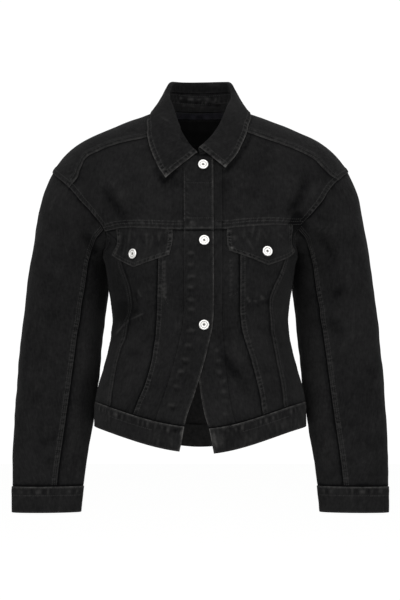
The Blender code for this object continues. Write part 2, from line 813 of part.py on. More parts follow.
def back_yoke():
    """The panel over both shoulders, which comes forward to the shoulder seams."""
    columns = (12, 14, 12)
    total = sum(columns)
    first = columns[0] / total
    second = (columns[0] + columns[1]) / total
    seams = {side: shoulder_seam(side) for side in (LEFT, RIGHT)}
    arm_angle, arm_height = armhole(LEFT, BACK_YOKE_AT)
    around = ((0.0, SHOULDER_SEAM_NECK), (0.5 * first, 62.0), (first, 118.0), (0.5, 180.0),
              (second, 242.0), (0.5 * (1.0 + second), 298.0), (1.0, 360.0 - SHOULDER_SEAM_NECK))

    def upper(share):
        angle = smooth(around, 1, share)
        return pair(angle, neck_height(angle))

    def arm_part(side, share):
        angle, height = armhole(side, SHOULDER_SEAM_AT[side]
                                + (BACK_YOKE_AT - SHOULDER_SEAM_AT[side]) * share)
        return pair(angle if side == LEFT else 360.0 + angle, height)

    def lower(share):
        left = arm_part(LEFT, np.clip(share / first, 0.0, 1.0))
        right = arm_part(RIGHT, np.clip((1.0 - share) / (1.0 - second), 0.0, 1.0))
        past = (share - first) / (second - first)
        bow = 1.0 - (2.0 * past - 1.0) ** 2
        level = pair(arm_angle + (360.0 - 2.0 * arm_angle) * past,
                     arm_height + (BACK_YOKE_HEIGHT - arm_height) * np.minimum(4.0 * bow, 1.0))
        middle = np.where((share >= second)[..., None], right, level)
        return np.where((share <= first)[..., None], left, middle)

    def start(share):
        return seams[LEFT](1.0 - share)

    def end(share):
        turned = seams[RIGHT](1.0 - share)
        return pair(360.0 + turned[..., 0], turned[..., 1])

    panel("back_yoke", total, 8, fill(lower, upper, start, end), 520.0, 130.0)


def placket(side):
    """The double strip down a front edge, from the neck seam to the waistband."""
    outer = lambda height: edge_angle(side, height)
    inner = placket_line(side)
    lines = (outer, inner)
    tops = [neck_crossing(line, side) for line in lines]
    feet = [seam_foot(line, side) for line in lines]
    top_angles = [float(line(top)) for line, top in zip(lines, tops)]
    foot_angles = [float(line(foot)) for line, foot in zip(lines, feet)]

    def upper(share):
        angle = top_angles[0] + (top_angles[1] - top_angles[0]) * share
        return pair(angle, own_neck_height(side, angle))

    def lower(share):
        angle = foot_angles[0] + (foot_angles[1] - foot_angles[0]) * share
        return pair(angle, band_top(side, angle) + BAND_SEAM_GAP)

    start = down_line(outer, tops[0], feet[0])
    end = down_line(inner, tops[1], feet[1])
    patch = fill(lower, upper, start, end)
    name = SIDE_NAMES[side] + "_placket"
    panel(name, 2, 26, patch, PLACKET_WIDTH[side], 430.0,
          lambda angle: front_lift(side, angle) + PLACKET_PROUD, PLACKET_WALL)


def waistband(side):
    """The front band, from the side seam to the front edge."""

    def patch(across, up):
        edge = edge_angle(side, own_hem_height(side, 0.0) + BAND_HEIGHT * up)
        angle = side * 90.0 + (edge - side * 90.0) * across
        return pair(angle, own_hem_height(side, angle) + BAND_HEIGHT * up)

    panel(f"{SIDE_NAMES[side]}_waistband", 12, 3, patch, 190.0, BAND_HEIGHT,
          lambda angle: front_lift(side, angle) + BAND_PROUD, BAND_WALL)


def back_waistband():
    def patch(across, up):
        angle = 90.0 + 180.0 * across
        return pair(angle, hem_height(angle) + BAND_HEIGHT * up)

    panel("back_waistband", 20, 3, patch, 420.0, BAND_HEIGHT, lambda angle: BAND_PROUD, BAND_WALL)


def flap_patch(side):
    """The pointed pocket flap, as a patch whose lower edge breaks at its tip."""
    (top_in, top_out), tip, (low_in, low_out) = (FLAP[side][key] for key in ("top", "tip", "low"))
    tip_share = abs(tip[0] - low_in[0]) / abs(low_out[0] - low_in[0]) * 0.9

    def front_point(x, height):
        return pair(angle_at(x, height), height)

    def straight(first, last):
        ends = (front_point(*first), front_point(*last))
        return lambda share: ends[0] * (1.0 - share[..., None]) + ends[1] * share[..., None]

    toward, away = straight(low_in, tip), straight(tip, low_out)

    def lower(share):
        past = np.clip((share - tip_share) / (1.0 - tip_share), 0.0, 1.0)
        first = toward(np.clip(share / tip_share, 0.0, 1.0))
        return np.where((share <= tip_share)[..., None], first, away(past))

    patch = fill(lower, straight(top_in, top_out), straight(low_in, top_in), straight(low_out, top_out))
    return patch, tip_share


def flap(side):
    patch, tip_share = flap_patch(side)
    columns = 10
    tip_column = round(tip_share * columns)

    def snapped(across, up):
        before = across * columns / tip_column * tip_share
        after = tip_share + (across * columns - tip_column) / (columns - tip_column) * (1.0 - tip_share)
        return patch(np.where(across * columns <= tip_column, before, after), up)

    panel(SIDE_NAMES[side] + "_flap", columns, 5, snapped, 118.0, 45.0,
          lambda angle: front_lift(side, angle) + FLAP_GAP + FLAP_WALL, FLAP_WALL)


def pocket_bag(side):
    """The pocket bag, hanging inside the front from under the flap."""
    inner_x, top, bottom = BAG[side]
    outer = outer_seam_line(side)

    def patch(across, up):
        height = bottom + (top - bottom) * up
        inner_angle = angle_at(inner_x, height)
        outer_angle = outer(height)
        return pair(inner_angle + (outer_angle - inner_angle) * across * (1.0 - BAG_FROM_SIDE), height)

    inside = PANEL_WALL + LINING_GAP
    panel(SIDE_NAMES[side] + "_pocket_bag", 7, 7, patch, 75.0, 100.0,
          lambda angle: front_lift(side, angle) - inside, LINING_WALL, "pocket_cloth")


def neck_label():
    half_width, top, bottom = LABEL

    def patch(across, up):
        height = float(neck_height(180.0)) - bottom + (bottom - top) * up
        half_angle = angle_at(half_width, height)
        return pair(180.0 + half_angle * (2.0 * across - 1.0), height)

    panel("neck_label", 6, 5, patch, 72.0, 42.0, lambda angle: -PANEL_WALL - LINING_GAP, LINING_WALL,
          finish="label")


def neck_tape():
    half_angle, top, bottom = TAPE

    def patch(across, up):
        angle = 180.0 + half_angle * (2.0 * across - 1.0)
        return pair(angle, neck_height(angle) - bottom + (bottom - top) * up)

    panel("neck_tape", 12, 1, patch, 90.0, 8.5, lambda angle: -PANEL_WALL - LINING_GAP, LINING_WALL,
          finish="tape")


# Sleeves.


def sleeve_ring(side, degrees, along):
    """A point of the plain sleeve surface, before it's drawn to the armhole."""
    columns = [smooth(SLEEVE, column, along) for column in range(1, 8)]
    outer_x, outer_z, outer_y, inner_x, inner_z, inner_y, half_depth = columns
    forwards, outwards = superellipse(degrees, SLEEVE_CORNERS)
    x = 0.5 * (outer_x + inner_x) + 0.5 * (outer_x - inner_x) * outwards
    z = 0.5 * (outer_z + inner_z) + 0.5 * (outer_z - inner_z) * outwards
    y = 0.5 * (outer_y + inner_y) + 0.5 * (outer_y - inner_y) * outwards - half_depth * forwards
    return np.stack(np.broadcast_arrays(side * x, y, z), axis=-1)


def sleeve_point(side, degrees, along):
    """A point of the sleeve surface, which starts on the armhole."""
    start = ring_point(*armhole(side, degrees))
    pull = (1.0 - ease(along, 0.0, SLEEVE_BLEND))[..., None]
    drawn = sleeve_ring(side, degrees, along)
    return drawn + (start - sleeve_ring(side, degrees, 0.0 * along)) * pull


def sleeve(side, degrees, along, depth):
    """A point a given depth inside the sleeve surface, folds included."""
    turn, step = 0.5, 0.5
    near = np.maximum(along - step, 0.0)
    round_arm = sleeve_point(side, degrees + turn, along) - sleeve_point(side, degrees - turn, along)
    down_arm = sleeve_point(side, degrees, along + step) - sleeve_point(side, degrees, near)
    normal = unit(np.cross(round_arm, down_arm)) * side
    at_body = ring_normal(*armhole(side, degrees))
    agree = ease(np.sum(normal * at_body, axis=-1), 0.3, 0.8) * (1.0 - ease(along, 0.0, 22.0))
    normal = unit(normal * (1.0 - agree[..., None]) + at_body * agree[..., None])
    scale = SLEEVE_MM_PER_DEGREE
    folds = [((a[0] * scale, a[1]), (b[0] * scale, b[1]), w, h) for a, b, w, h in SLEEVE_FOLDS]
    raised = ridges(folds, np.asarray(degrees) * scale, along) * ease(along, 20.0, 60.0)
    return sleeve_point(side, degrees, along) + normal * (raised - depth)[..., None]


def sleeve_rows(degrees, share):
    """Distance along the sleeve at a share of its rows, closer together near the armhole."""
    from_top = np.abs(180.0 - np.mod(180.0 - degrees, 360.0))
    start = ARMHOLE_GAP["over"] + (ARMHOLE_GAP["under"] - ARMHOLE_GAP["over"]) * ease(from_top, 55.0, 95.0)
    return start + (CUFF_FROM - start - 0.5 * SEAM_GAP) * (0.8 * share + 0.2 * share**2)


def sleeve_panel(side, name, first, last, columns):
    """A sleeve panel between two seams, each given as its angle at the armhole and the cuff."""
    margin = 0.15

    def place(across, up, depth):
        from_angle = first[0] + (first[1] - first[0]) * up + margin
        to_angle = last[0] + (last[1] - last[0]) * up - margin
        degrees = from_angle + (to_angle - from_angle) * across
        return sleeve(side, degrees, sleeve_rows(degrees, up), depth)

    wall(f"{SIDE_NAMES[side]}_{name}_sleeve", columns, 18, PANEL_WALL, place)


def sleeve_pieces(side):
    back = (BACK_SLEEVE_SEAM, BACK_SLEEVE_SEAM)
    back_again = (BACK_SLEEVE_SEAM + 360.0, BACK_SLEEVE_SEAM + 360.0)
    sleeve_panel(side, "upper", back, FRONT_SLEEVE_SEAM, 16)
    sleeve_panel(side, "under", FRONT_SLEEVE_SEAM, back_again, 10)

    def place(across, up, depth):
        degrees = BACK_SLEEVE_SEAM + 0.3 + 359.4 * across
        along = CUFF_FROM + 0.5 * SEAM_GAP + (CUFF_TO - CUFF_FROM) * up
        return sleeve(side, degrees, along, depth - BAND_PROUD)

    wall(SIDE_NAMES[side] + "_cuff", 24, 3, BAND_WALL, place)


# Collar.


def collar_clearance(angle):
    """How far the leaf's face lies out from the body: more over the plackets."""
    low, high = COLLAR_OFF_BODY
    return high + (low - high) * ease(np.abs(angle), *COLLAR_OVER_PLACKET)


def collar_rows(side):
    """The collar's rows with their number in front, for one side."""
    rows = COLLAR_FRONT[side] + COLLAR_BACK
    return [(float(number), *row) for number, row in enumerate(rows)]


def collar_frame(column):
    """Neck seam, roll line and leaf edge points at shares round the collar, from right to left."""
    last = len(COLLAR_FRONT[RIGHT]) + len(COLLAR_BACK) - 2.0
    number = last * (1.0 - np.abs(2.0 * column - 1.0))
    found = {}
    for side in (RIGHT, LEFT):
        rows = collar_rows(side)
        neck_angle, roll_x, roll_y, roll_z, edge, edge_z = (
            smooth(rows, item, number) for item in range(1, 7)
        )
        neck = body(side * neck_angle, own_neck_height(side, side * neck_angle), 0.0)
        roll = np.stack([side * roll_x, roll_y, roll_z], axis=-1)
        found[side] = (neck, roll, body(side * edge, edge_z, collar_clearance(edge)))
    on_right = (column < 0.5)[..., None]
    return [np.where(on_right, *pair_of) for pair_of in zip(found[RIGHT], found[LEFT])]


def stand_seam(column, neck, roll):
    """The seam between stand and leaf, on the line from the neck seam to the roll line."""
    low, high = STAND_SHARE
    share = low + (high - low) * ease(np.abs(2.0 * column - 1.0), 1.0, 0.45)
    return neck + (roll - neck) * share[..., None]


def stand_point(column, up):
    neck, roll, _ = collar_frame(column)
    foot = neck + unit(roll - neck) * STAND_OFF_NECK
    top = stand_seam(column, neck, roll) - unit(roll - neck) * STAND_OFF_LEAF
    return foot + (top - foot) * up[..., None]


def leaf_point(column, up):
    """The leaf's upper face: up from the stand, over the fold, and down to its edge."""
    neck, roll, edge = collar_frame(column)
    seam = stand_seam(column, neck, roll)
    upward = unit(unit(roll - seam) + unit(roll - edge))
    outward = edge - seam
    outward = unit(outward - upward * np.sum(outward * upward, axis=-1)[..., None])
    centre = roll - upward * COLLAR_FOLD_RADIUS

    def tangent(point, turn):
        """Angle on the fold circle, from outwards to upwards, where a line from a point touches."""
        out = np.sum((point - centre) * outward, axis=-1)
        rise = np.sum((point - centre) * upward, axis=-1)
        reach = np.maximum(np.hypot(out, rise), COLLAR_FOLD_RADIUS * 1.001)
        return np.arctan2(rise, out) + turn * np.arccos(COLLAR_FOLD_RADIUS / reach)

    first = np.mod(tangent(seam, -1.0), 2.0 * math.pi)
    last = tangent(edge, 1.0)
    rise, fold, fall = (LEAF_STEPS[key] for key in ("rise", "fold", "fall"))
    step = up * (rise + fold + fall)
    turned = first + (last - first) * np.clip((step - rise) / fold, 0.0, 1.0)
    spoke = outward * np.cos(turned)[..., None] + upward * np.sin(turned)[..., None]
    on_fold = centre + spoke * COLLAR_FOLD_RADIUS
    rising = seam + (on_fold - seam) * np.clip(step / rise, 0.0, 1.0)[..., None]
    down = np.clip((step - rise - fold) / fall, 0.0, 1.0)
    falling = on_fold + (edge - on_fold) * down[..., None]
    falling = clear_of_body(falling, collar_clearance, ease(down, 0.0, 0.45))
    made = np.where((step < rise)[..., None], rising, on_fold)
    return np.where((step > rise + fold)[..., None], falling, made)


def off_surface(surface, across, up, depth):
    """A point a given depth under a surface of two shares, by finite differences."""
    step = 0.004
    run = surface(np.minimum(across + step, 1.0), up) - surface(np.maximum(across - step, 0.0), up)
    rise = surface(across, np.minimum(up + step, 1.0)) - surface(across, np.maximum(up - step, 0.0))
    return surface(across, up) - unit(np.cross(rise, run)) * depth[..., None]


def collar():
    def place_stand(across, up, depth):
        return off_surface(stand_point, across, up, depth)

    def place_leaf(across, up, depth):
        return off_surface(leaf_point, across, up, depth)

    wall("collar_stand", 32, 2, COLLAR_WALL, place_stand)
    wall("collar_leaf", 32, sum(LEAF_STEPS.values()), COLLAR_WALL, place_leaf)


# Buttons.


def button(name, x, height, out):
    """A tack button: its profile turned about the cloth's normal."""
    mesh = bpy.data.meshes.new(name)
    profile = [(radius * MM, 0.0, (rise + BUTTON_LIFT) * MM) for radius, rise in BUTTON_PROFILE]
    edges = [(i, i + 1) for i in range(len(profile) - 1)]
    mesh.from_pydata(profile, edges, [])
    made = add_object(name, mesh, "metal")
    turned = made.modifiers.new("turned", "SCREW")
    turned.angle = 2.0 * math.pi
    turned.steps = BUTTON_STEPS
    turned.render_steps = BUTTON_STEPS
    turned.use_merge_vertices = True
    turned.merge_threshold = 1e-5
    turned.use_normal_calculate = True
    angle = angle_at(x, np.float64(height))
    normal = ring_normal(angle, np.float64(height))
    made.location = body(angle, height, out) * MM
    tilt = math.acos(float(normal[2]))
    made.rotation_euler = (0.0, tilt, math.atan2(float(normal[1]), float(normal[0])))
    return made


def buttons():
    placket_face = UPPER_FRONT_OUT + PLACKET_PROUD
    for number, (x, height) in enumerate(FRONT_BUTTONS, start=1):
        button(f"front_button_{number}", x, height, placket_face)
    for side, (x, height) in FLAP_BUTTONS.items():
        button(SIDE_NAMES[side] + "_flap_button", x, height, FLAP_GAP + FLAP_WALL)


def clear_scene():
    for item in list(bpy.data.objects):
        bpy.data.objects.remove(item, do_unlink=True)


def main():
    clear_scene()
    bpy.context.scene.collection.children.link(bpy.data.collections.new(NAME))
    back_yoke()
    back_centre()
    back_waistband()
    for side in (RIGHT, LEFT):
        front_yoke(side)
        front_panels(side)
        back_side(side)
        placket(side)
        waistband(side)
        flap(side)
        pocket_bag(side)
        sleeve_pieces(side)
    collar()
    neck_label()
    neck_tape()
    buttons()


main()
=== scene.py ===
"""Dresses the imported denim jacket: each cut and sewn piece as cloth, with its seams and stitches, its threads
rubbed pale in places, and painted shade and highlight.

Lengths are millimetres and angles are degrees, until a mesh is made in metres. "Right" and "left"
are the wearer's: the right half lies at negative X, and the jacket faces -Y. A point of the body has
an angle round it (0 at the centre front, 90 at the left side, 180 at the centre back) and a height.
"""

from __future__ import annotations

import logging
import math
from collections.abc import Callable
from dataclasses import dataclass, field
from enum import Enum

import bpy
import numpy as np
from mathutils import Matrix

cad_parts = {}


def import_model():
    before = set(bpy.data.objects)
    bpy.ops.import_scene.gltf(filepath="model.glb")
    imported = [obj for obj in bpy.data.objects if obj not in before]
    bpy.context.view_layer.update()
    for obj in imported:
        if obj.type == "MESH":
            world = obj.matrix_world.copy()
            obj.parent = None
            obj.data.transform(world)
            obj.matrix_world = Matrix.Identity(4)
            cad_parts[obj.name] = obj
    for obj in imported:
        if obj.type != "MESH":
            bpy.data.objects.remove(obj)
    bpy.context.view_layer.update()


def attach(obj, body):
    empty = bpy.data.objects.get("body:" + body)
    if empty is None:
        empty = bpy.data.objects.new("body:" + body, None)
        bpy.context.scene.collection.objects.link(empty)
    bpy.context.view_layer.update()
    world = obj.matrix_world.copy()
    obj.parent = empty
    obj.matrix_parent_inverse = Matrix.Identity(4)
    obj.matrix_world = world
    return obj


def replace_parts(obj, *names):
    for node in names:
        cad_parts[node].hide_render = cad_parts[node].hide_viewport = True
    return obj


log = logging.getLogger("jacket")

MM = 0.001

# How far pieces lie apart or out from the body.
BAND_GAP = 0.3
BAND_OUT = 1.1
BAND_THICK = 1.6
FLAP_GAP = 0.2
STRIP_OUT = 0.4
BUTTON_OUT = 3.3

# Painted shade for each millimetre of a fold's trough, and painted highlight for each millimetre of its crest.
TROUGH_SHADE = 0.1
CREST_HIGHLIGHT = 0.03

Array = np.ndarray
Pair = tuple[float, float]
Triple = tuple[float, float, float]
Colour = tuple[float, float, float, float]
Table = tuple[tuple[float, ...], ...]
Line = Callable[[Array], Array]
Surface = Callable[[Array, Array], Array]


class Side(Enum):
    """The wearer's side, as the sign of its X."""

    RIGHT = -1
    LEFT = 1

    @property
    def word(self) -> str:
        """The side's name in node names."""
        return self.name.lower()


class Border(Enum):
    """The four borders of a piece: first and last across it, bottom and top along it."""

    START = 0
    END = 1
    BOTTOM = 2
    TOP = 3


# Curves and shares.


def smooth(table: Table, column: int, at: Array | float) -> Array:
    """Reads a table's column on a monotone cubic.

    Args:
        table: rows whose first column increases.
        column: the column that is read.
        at: values of the first column.

    Returns:
        The column's values there.
    """
    grid = np.array([row[0] for row in table], float)
    values = np.array([row[column] for row in table], float)
    step = np.diff(grid)
    slope = np.diff(values) / step
    tangents = np.zeros(len(grid))
    tangents[0] = slope[0]
    tangents[-1] = slope[-1]
    same_way = slope[:-1] * slope[1:] > 0
    inner = 2 * slope[:-1] * slope[1:]
    tangents[1:-1][same_way] = inner[same_way] / (slope[:-1] + slope[1:])[same_way]
    at = np.clip(np.asarray(at, float), grid[0], grid[-1])
    cell = np.clip(np.searchsorted(grid, at) - 1, 0, len(step) - 1)
    s = (at - grid[cell]) / step[cell]
    rise = (3 - 2 * s) * s * s
    start = s * (1 - s) ** 2 * step[cell] * tangents[cell]
    end = s * s * (s - 1) * step[cell] * tangents[cell + 1]
    return values[cell] * (1 - rise) + values[cell + 1] * rise + start + end


def ease(value: Array, low: float, high: float) -> Array:
    """0 below low, 1 above high (or the other way round), and a smooth step between them."""
    s = np.clip((value - low) / (high - low), 0, 1)
    return s * s * (3 - 2 * s)


def bell(value: Array, middle: float, width: float) -> Array:
    """A soft bump of height 1 about a middle."""
    return np.exp(-(((value - middle) / width) ** 2))


def unit(vectors: Array) -> Array:
    """Vectors drawn to length 1."""
    return vectors / np.maximum(np.linalg.norm(vectors, axis=-1, keepdims=True), 1e-9)


def superellipse(angle: Array, corners: Array | float) -> tuple[Array, Array]:
    """The two shares (sideways, forwards) of a unit superellipse at an angle."""
    sideways = np.sin(np.radians(angle))
    forwards = np.cos(np.radians(angle))
    reach = (np.abs(sideways) ** corners + np.abs(forwards) ** corners) ** (-1 / corners)
    return sideways * reach, forwards * reach


def turn_of(share: Array, corners: Array) -> Array:
    """The angle where a unit superellipse has a sideways share."""
    return np.degrees(np.arctan(share / (1 - share**corners) ** (1 / corners)))


def pair(angle: Array | float, height: Array | float) -> Array:
    """Angles and heights side by side in one array."""
    angle, height = np.broadcast_arrays(np.asarray(angle, float), np.asarray(height, float))
    return np.stack([angle, height], axis=-1)


def drift(points: Array, size: float, seed: int) -> Array:
    """Soft unevenness between about -1 and 1.

    Args:
        points: where it's wanted.
        size: the usual length of a wave.
        seed: picks the waves' directions.

    Returns:
        One value for each point.
    """
    draw = np.random.RandomState(seed)
    total = np.zeros(points.shape[:-1])
    for _ in range(7):
        way = draw.normal(size=3)
        way *= 2 * math.pi / (size * draw.uniform(0.7, 1.5) * np.linalg.norm(way))
        total = total + np.sin(points @ way + draw.uniform(0, 6.3))
    return total / 3.5


@dataclass(frozen=True)
class Fold:
    """A soft ridge, or a trough, along a line in a plane."""

    line: tuple[Pair, ...]
    width: float
    rise: float
    taper: float = 0.35

    def height(self, across: Array, along: Array) -> Array:
        """Its height at points of the plane.

        Args:
            across: first coordinates.
            along: second coordinates.

        Returns:
            Heights, 0 far from the line.
        """
        best = np.full(np.broadcast(across, along).shape, 1e9)
        share = np.zeros(best.shape)
        runs = [np.subtract(b, a) for a, b in zip(self.line, self.line[1:])]
        total = sum(float(np.hypot(*run)) for run in runs)
        passed = 0
        for first, run in zip(self.line, runs):
            length = float(np.hypot(*run))
            raw = ((across - first[0]) * run[0] + (along - first[1]) * run[1]) / length**2
            near = np.clip(raw, 0, 1)
            off = np.hypot(across - first[0] - near * run[0], along - first[1] - near * run[1])
            better = off < best
            best = np.where(better, off, best)
            share = np.where(better, (passed + np.clip(raw, -0.3, 1.3) * length) / total, share)
            passed += length
        ends = ease(share, -0.1, self.taper) * (1 - ease(share, 1 - self.taper, 1.1))
        return self.rise * ends * np.exp(-((best / self.width) ** 2))


Folds = tuple[Fold, ...]


def fold_rows(*rows: tuple) -> Folds:
    """Folds from rows of width, rise, taper where it isn't the usual one, and the line's points."""
    return tuple(
        Fold(tuple(p for p in row if isinstance(p, tuple)), *(x for x in row if not isinstance(x, tuple)))
        for row in rows
    )


def spots(places: tuple[Pair, ...], half: float, width: float, rise: float) -> Folds:
    """Short level puckers at given places."""
    return tuple(Fold(((x - half, z), (x + half, z)), width, rise, 0.5) for x, z in places)


def raised_by(folds: Folds, points: Array) -> Array:
    """The height of folds that are drawn as seen from the front, at points in space."""
    return sum((fold.height(points[..., 0], points[..., 2]) for fold in folds), np.zeros(points.shape[:-1]))


# The form that the jacket is filled out to.


@dataclass(frozen=True)
class Torso:
    """The body surface: flat superellipse rings, with the main folds pressed into the front."""

    rings: Table = (
        (-550, 168.5, 134, 119), (-500, 168.5, 130, 115.5), (-470, 168, 126.5, 112), (-435, 162, 120, 106),
        (-412, 155, 116, 101), (-380, 146.6, 110, 93.5), (-350, 140.8, 107, 88), (-332, 139.5, 107.5, 91),
        (-300, 142.6, 117, 101), (-284, 145, 123, 108), (-243, 151, 130, 115), (-229, 155, 128, 114.6),
        (-214, 153, 125, 113.5), (-200, 160.5, 121, 112), (-184, 180, 117, 110.5), (-161, 215, 110, 107),
        (-138, 236, 105.5, 104), (-125, 238, 103, 102), (-98, 236.5, 97, 98), (-80, 225.5, 90, 95),
        (-64, 211.5, 83, 91), (-41, 178, 71, 84), (-27, 146, 62, 75), (-14, 114, 52.5, 70), (-1, 77.5, 43, 64),
        (6, 59, 36, 60), (12, 42, 30, 54),
    )
    corners: Table = (
        (-550, 2.25, 2.25, 2.3), (-340, 2.25, 2.35, 2.3), (-240, 2.4, 3, 2.5), (-150, 2.5, 2.8, 2.5),
        (-100, 2.4, 2.5, 2.4), (12, 2.4, 2.4, 2.3),
    )
    folds: Folds = fold_rows(
        (7, 2.2, (-80, -314), (-113, -327)), (8, 2.8, (-108, -324), (-139, -358)),
        (10, -2, (-84, -348), (-126, -366)), (9, 1.8, (92, -322), (134, -342)),
    )

    def sizes(self, angle: Array, height: Array) -> tuple[Array, Array, Array]:
        """Half width, depth and corner exponent of the quarter ring that holds each angle."""
        in_front = np.cos(np.radians(angle)) > 0
        depth = np.where(in_front, smooth(self.rings, 2, height), smooth(self.rings, 3, height))
        on_right = np.sin(np.radians(angle)) < 0
        front = np.where(on_right, smooth(self.corners, 1, height), smooth(self.corners, 2, height))
        return smooth(self.rings, 1, height), depth, np.where(in_front, front, smooth(self.corners, 3, height))

    def point(self, angle: Array, height: Array) -> Array:
        """A point of the plain surface."""
        half_width, depth, corners = self.sizes(angle, height)
        sideways, forwards = superellipse(angle, corners)
        height = np.broadcast_to(height, sideways.shape)
        return np.stack([half_width * sideways, -depth * forwards, height], axis=-1)

    def normal(self, angle: Array, height: Array) -> Array:
        """The plain surface's outward normal."""
        round_body = self.point(angle + 0.2, height) - self.point(angle - 0.2, height)
        up_body = self.point(angle, height + 0.5) - self.point(angle, height - 0.5)
        return unit(np.cross(round_body, up_body))

    def at(self, angle: Array | float, height: Array | float, out: Array | float = 0) -> Array:
        """A point a given distance out from the surface, folds included."""
        angle, height = np.broadcast_arrays(np.asarray(angle, float), np.asarray(height, float))
        point = self.point(angle, height)
        raised = np.where(point[..., 1] < 0, raised_by(self.folds, point), 0) + out
        return point + self.normal(angle, height) * raised[..., None]

    def angle_at(self, x: Array | float, height: Array | float) -> Array:
        """The angle of the front point with this x, at this height."""
        side = np.where(np.asarray(x) < 0, -90, 90)
        half_width, _, corners = self.sizes(side * 0.5, np.asarray(height, float))
        return np.sign(side) * turn_of(np.minimum(np.abs(x) / half_width, 0.9995), corners)

    def off(self, points: Array) -> tuple[Array, Array, Array]:
        """Each point's body angle, the surface's normal there, and the distance out from it."""
        in_front = points[..., 1] < 0
        height = points[..., 2]
        depth = np.where(in_front, smooth(self.rings, 2, height), smooth(self.rings, 3, height))
        half_width = smooth(self.rings, 1, height)
        angle = np.degrees(np.arctan2(points[..., 0] / half_width, -points[..., 1] / depth))
        normal = self.normal(angle, height)
        return angle, normal, np.sum((points - self.point(angle, height)) * normal, axis=-1)

    def pushed_clear(self, points: Array, clearance: Line, weight: Array) -> Array:
        """Points pushed straight out where they lie nearer the surface than the clearance.

        Args:
            points: the points.
            clearance: the least distance at each body angle.
            weight: the share of the push that each point takes.

        Returns:
            The moved points.
        """
        angle, normal, distance = self.off(points)
        push = weight * np.clip(clearance(angle) - distance, 0, None)
        return points + normal * push[..., None]

    def hugged(self, points: Array, weight: Array, reach: Triple) -> Array:
        """Points drawn to lie against the surface.

        Args:
            points: the points.
            weight: the share of the pull that each point takes.
            reach: the distance that they're drawn to, and those where the pull fades and ends.

        Returns:
            The moved points.
        """
        _, normal, distance = self.off(points)
        target, fades, ends = reach
        pull = weight * (1 - ease(distance, fades, ends)) * (target - distance)
        return points + normal * pull[..., None]


def coons(bottom: Line, top: Line, start: Line, end: Line) -> Surface:
    """A patch of (angle, height) between four seams.

    Args:
        bottom: lower seam, by its share across.
        top: upper seam, by its share across.
        start: first side seam, by its share up.
        end: last side seam, by its share up.

    Returns:
        The patch, as a function of shares across and up.
    """

    def patch(across: Array, up: Array) -> Array:
        """A point of the patch."""
        a = across[..., None]
        b = up[..., None]
        sides = start(up) * (1 - a) + end(up) * a
        ends = bottom(across) * (1 - b) + top(across) * b
        zero = np.zeros(1)
        one = np.ones(1)
        low = bottom(zero) * (1 - a) + bottom(one) * a
        high = top(zero) * (1 - a) + top(one) * a
        return sides + ends - low * (1 - b) - high * b

    return patch


def down_line(angle_of: Line, top: float, foot: float) -> Line:
    """A seam from its foot to its top, given as a function from height to angle."""

    def line(share: Array) -> Array:
        """A point of the line."""
        height = foot + (top - foot) * share
        return pair(angle_of(height), height)

    return line


def sweep(first: float, last: float, height_of: Line) -> Line:
    """A seam that runs evenly from one angle to another, its height given by the angle."""

    def line(share: Array) -> Array:
        """A point of the line."""
        angle = first + (last - first) * share
        return pair(angle, height_of(angle))

    return line


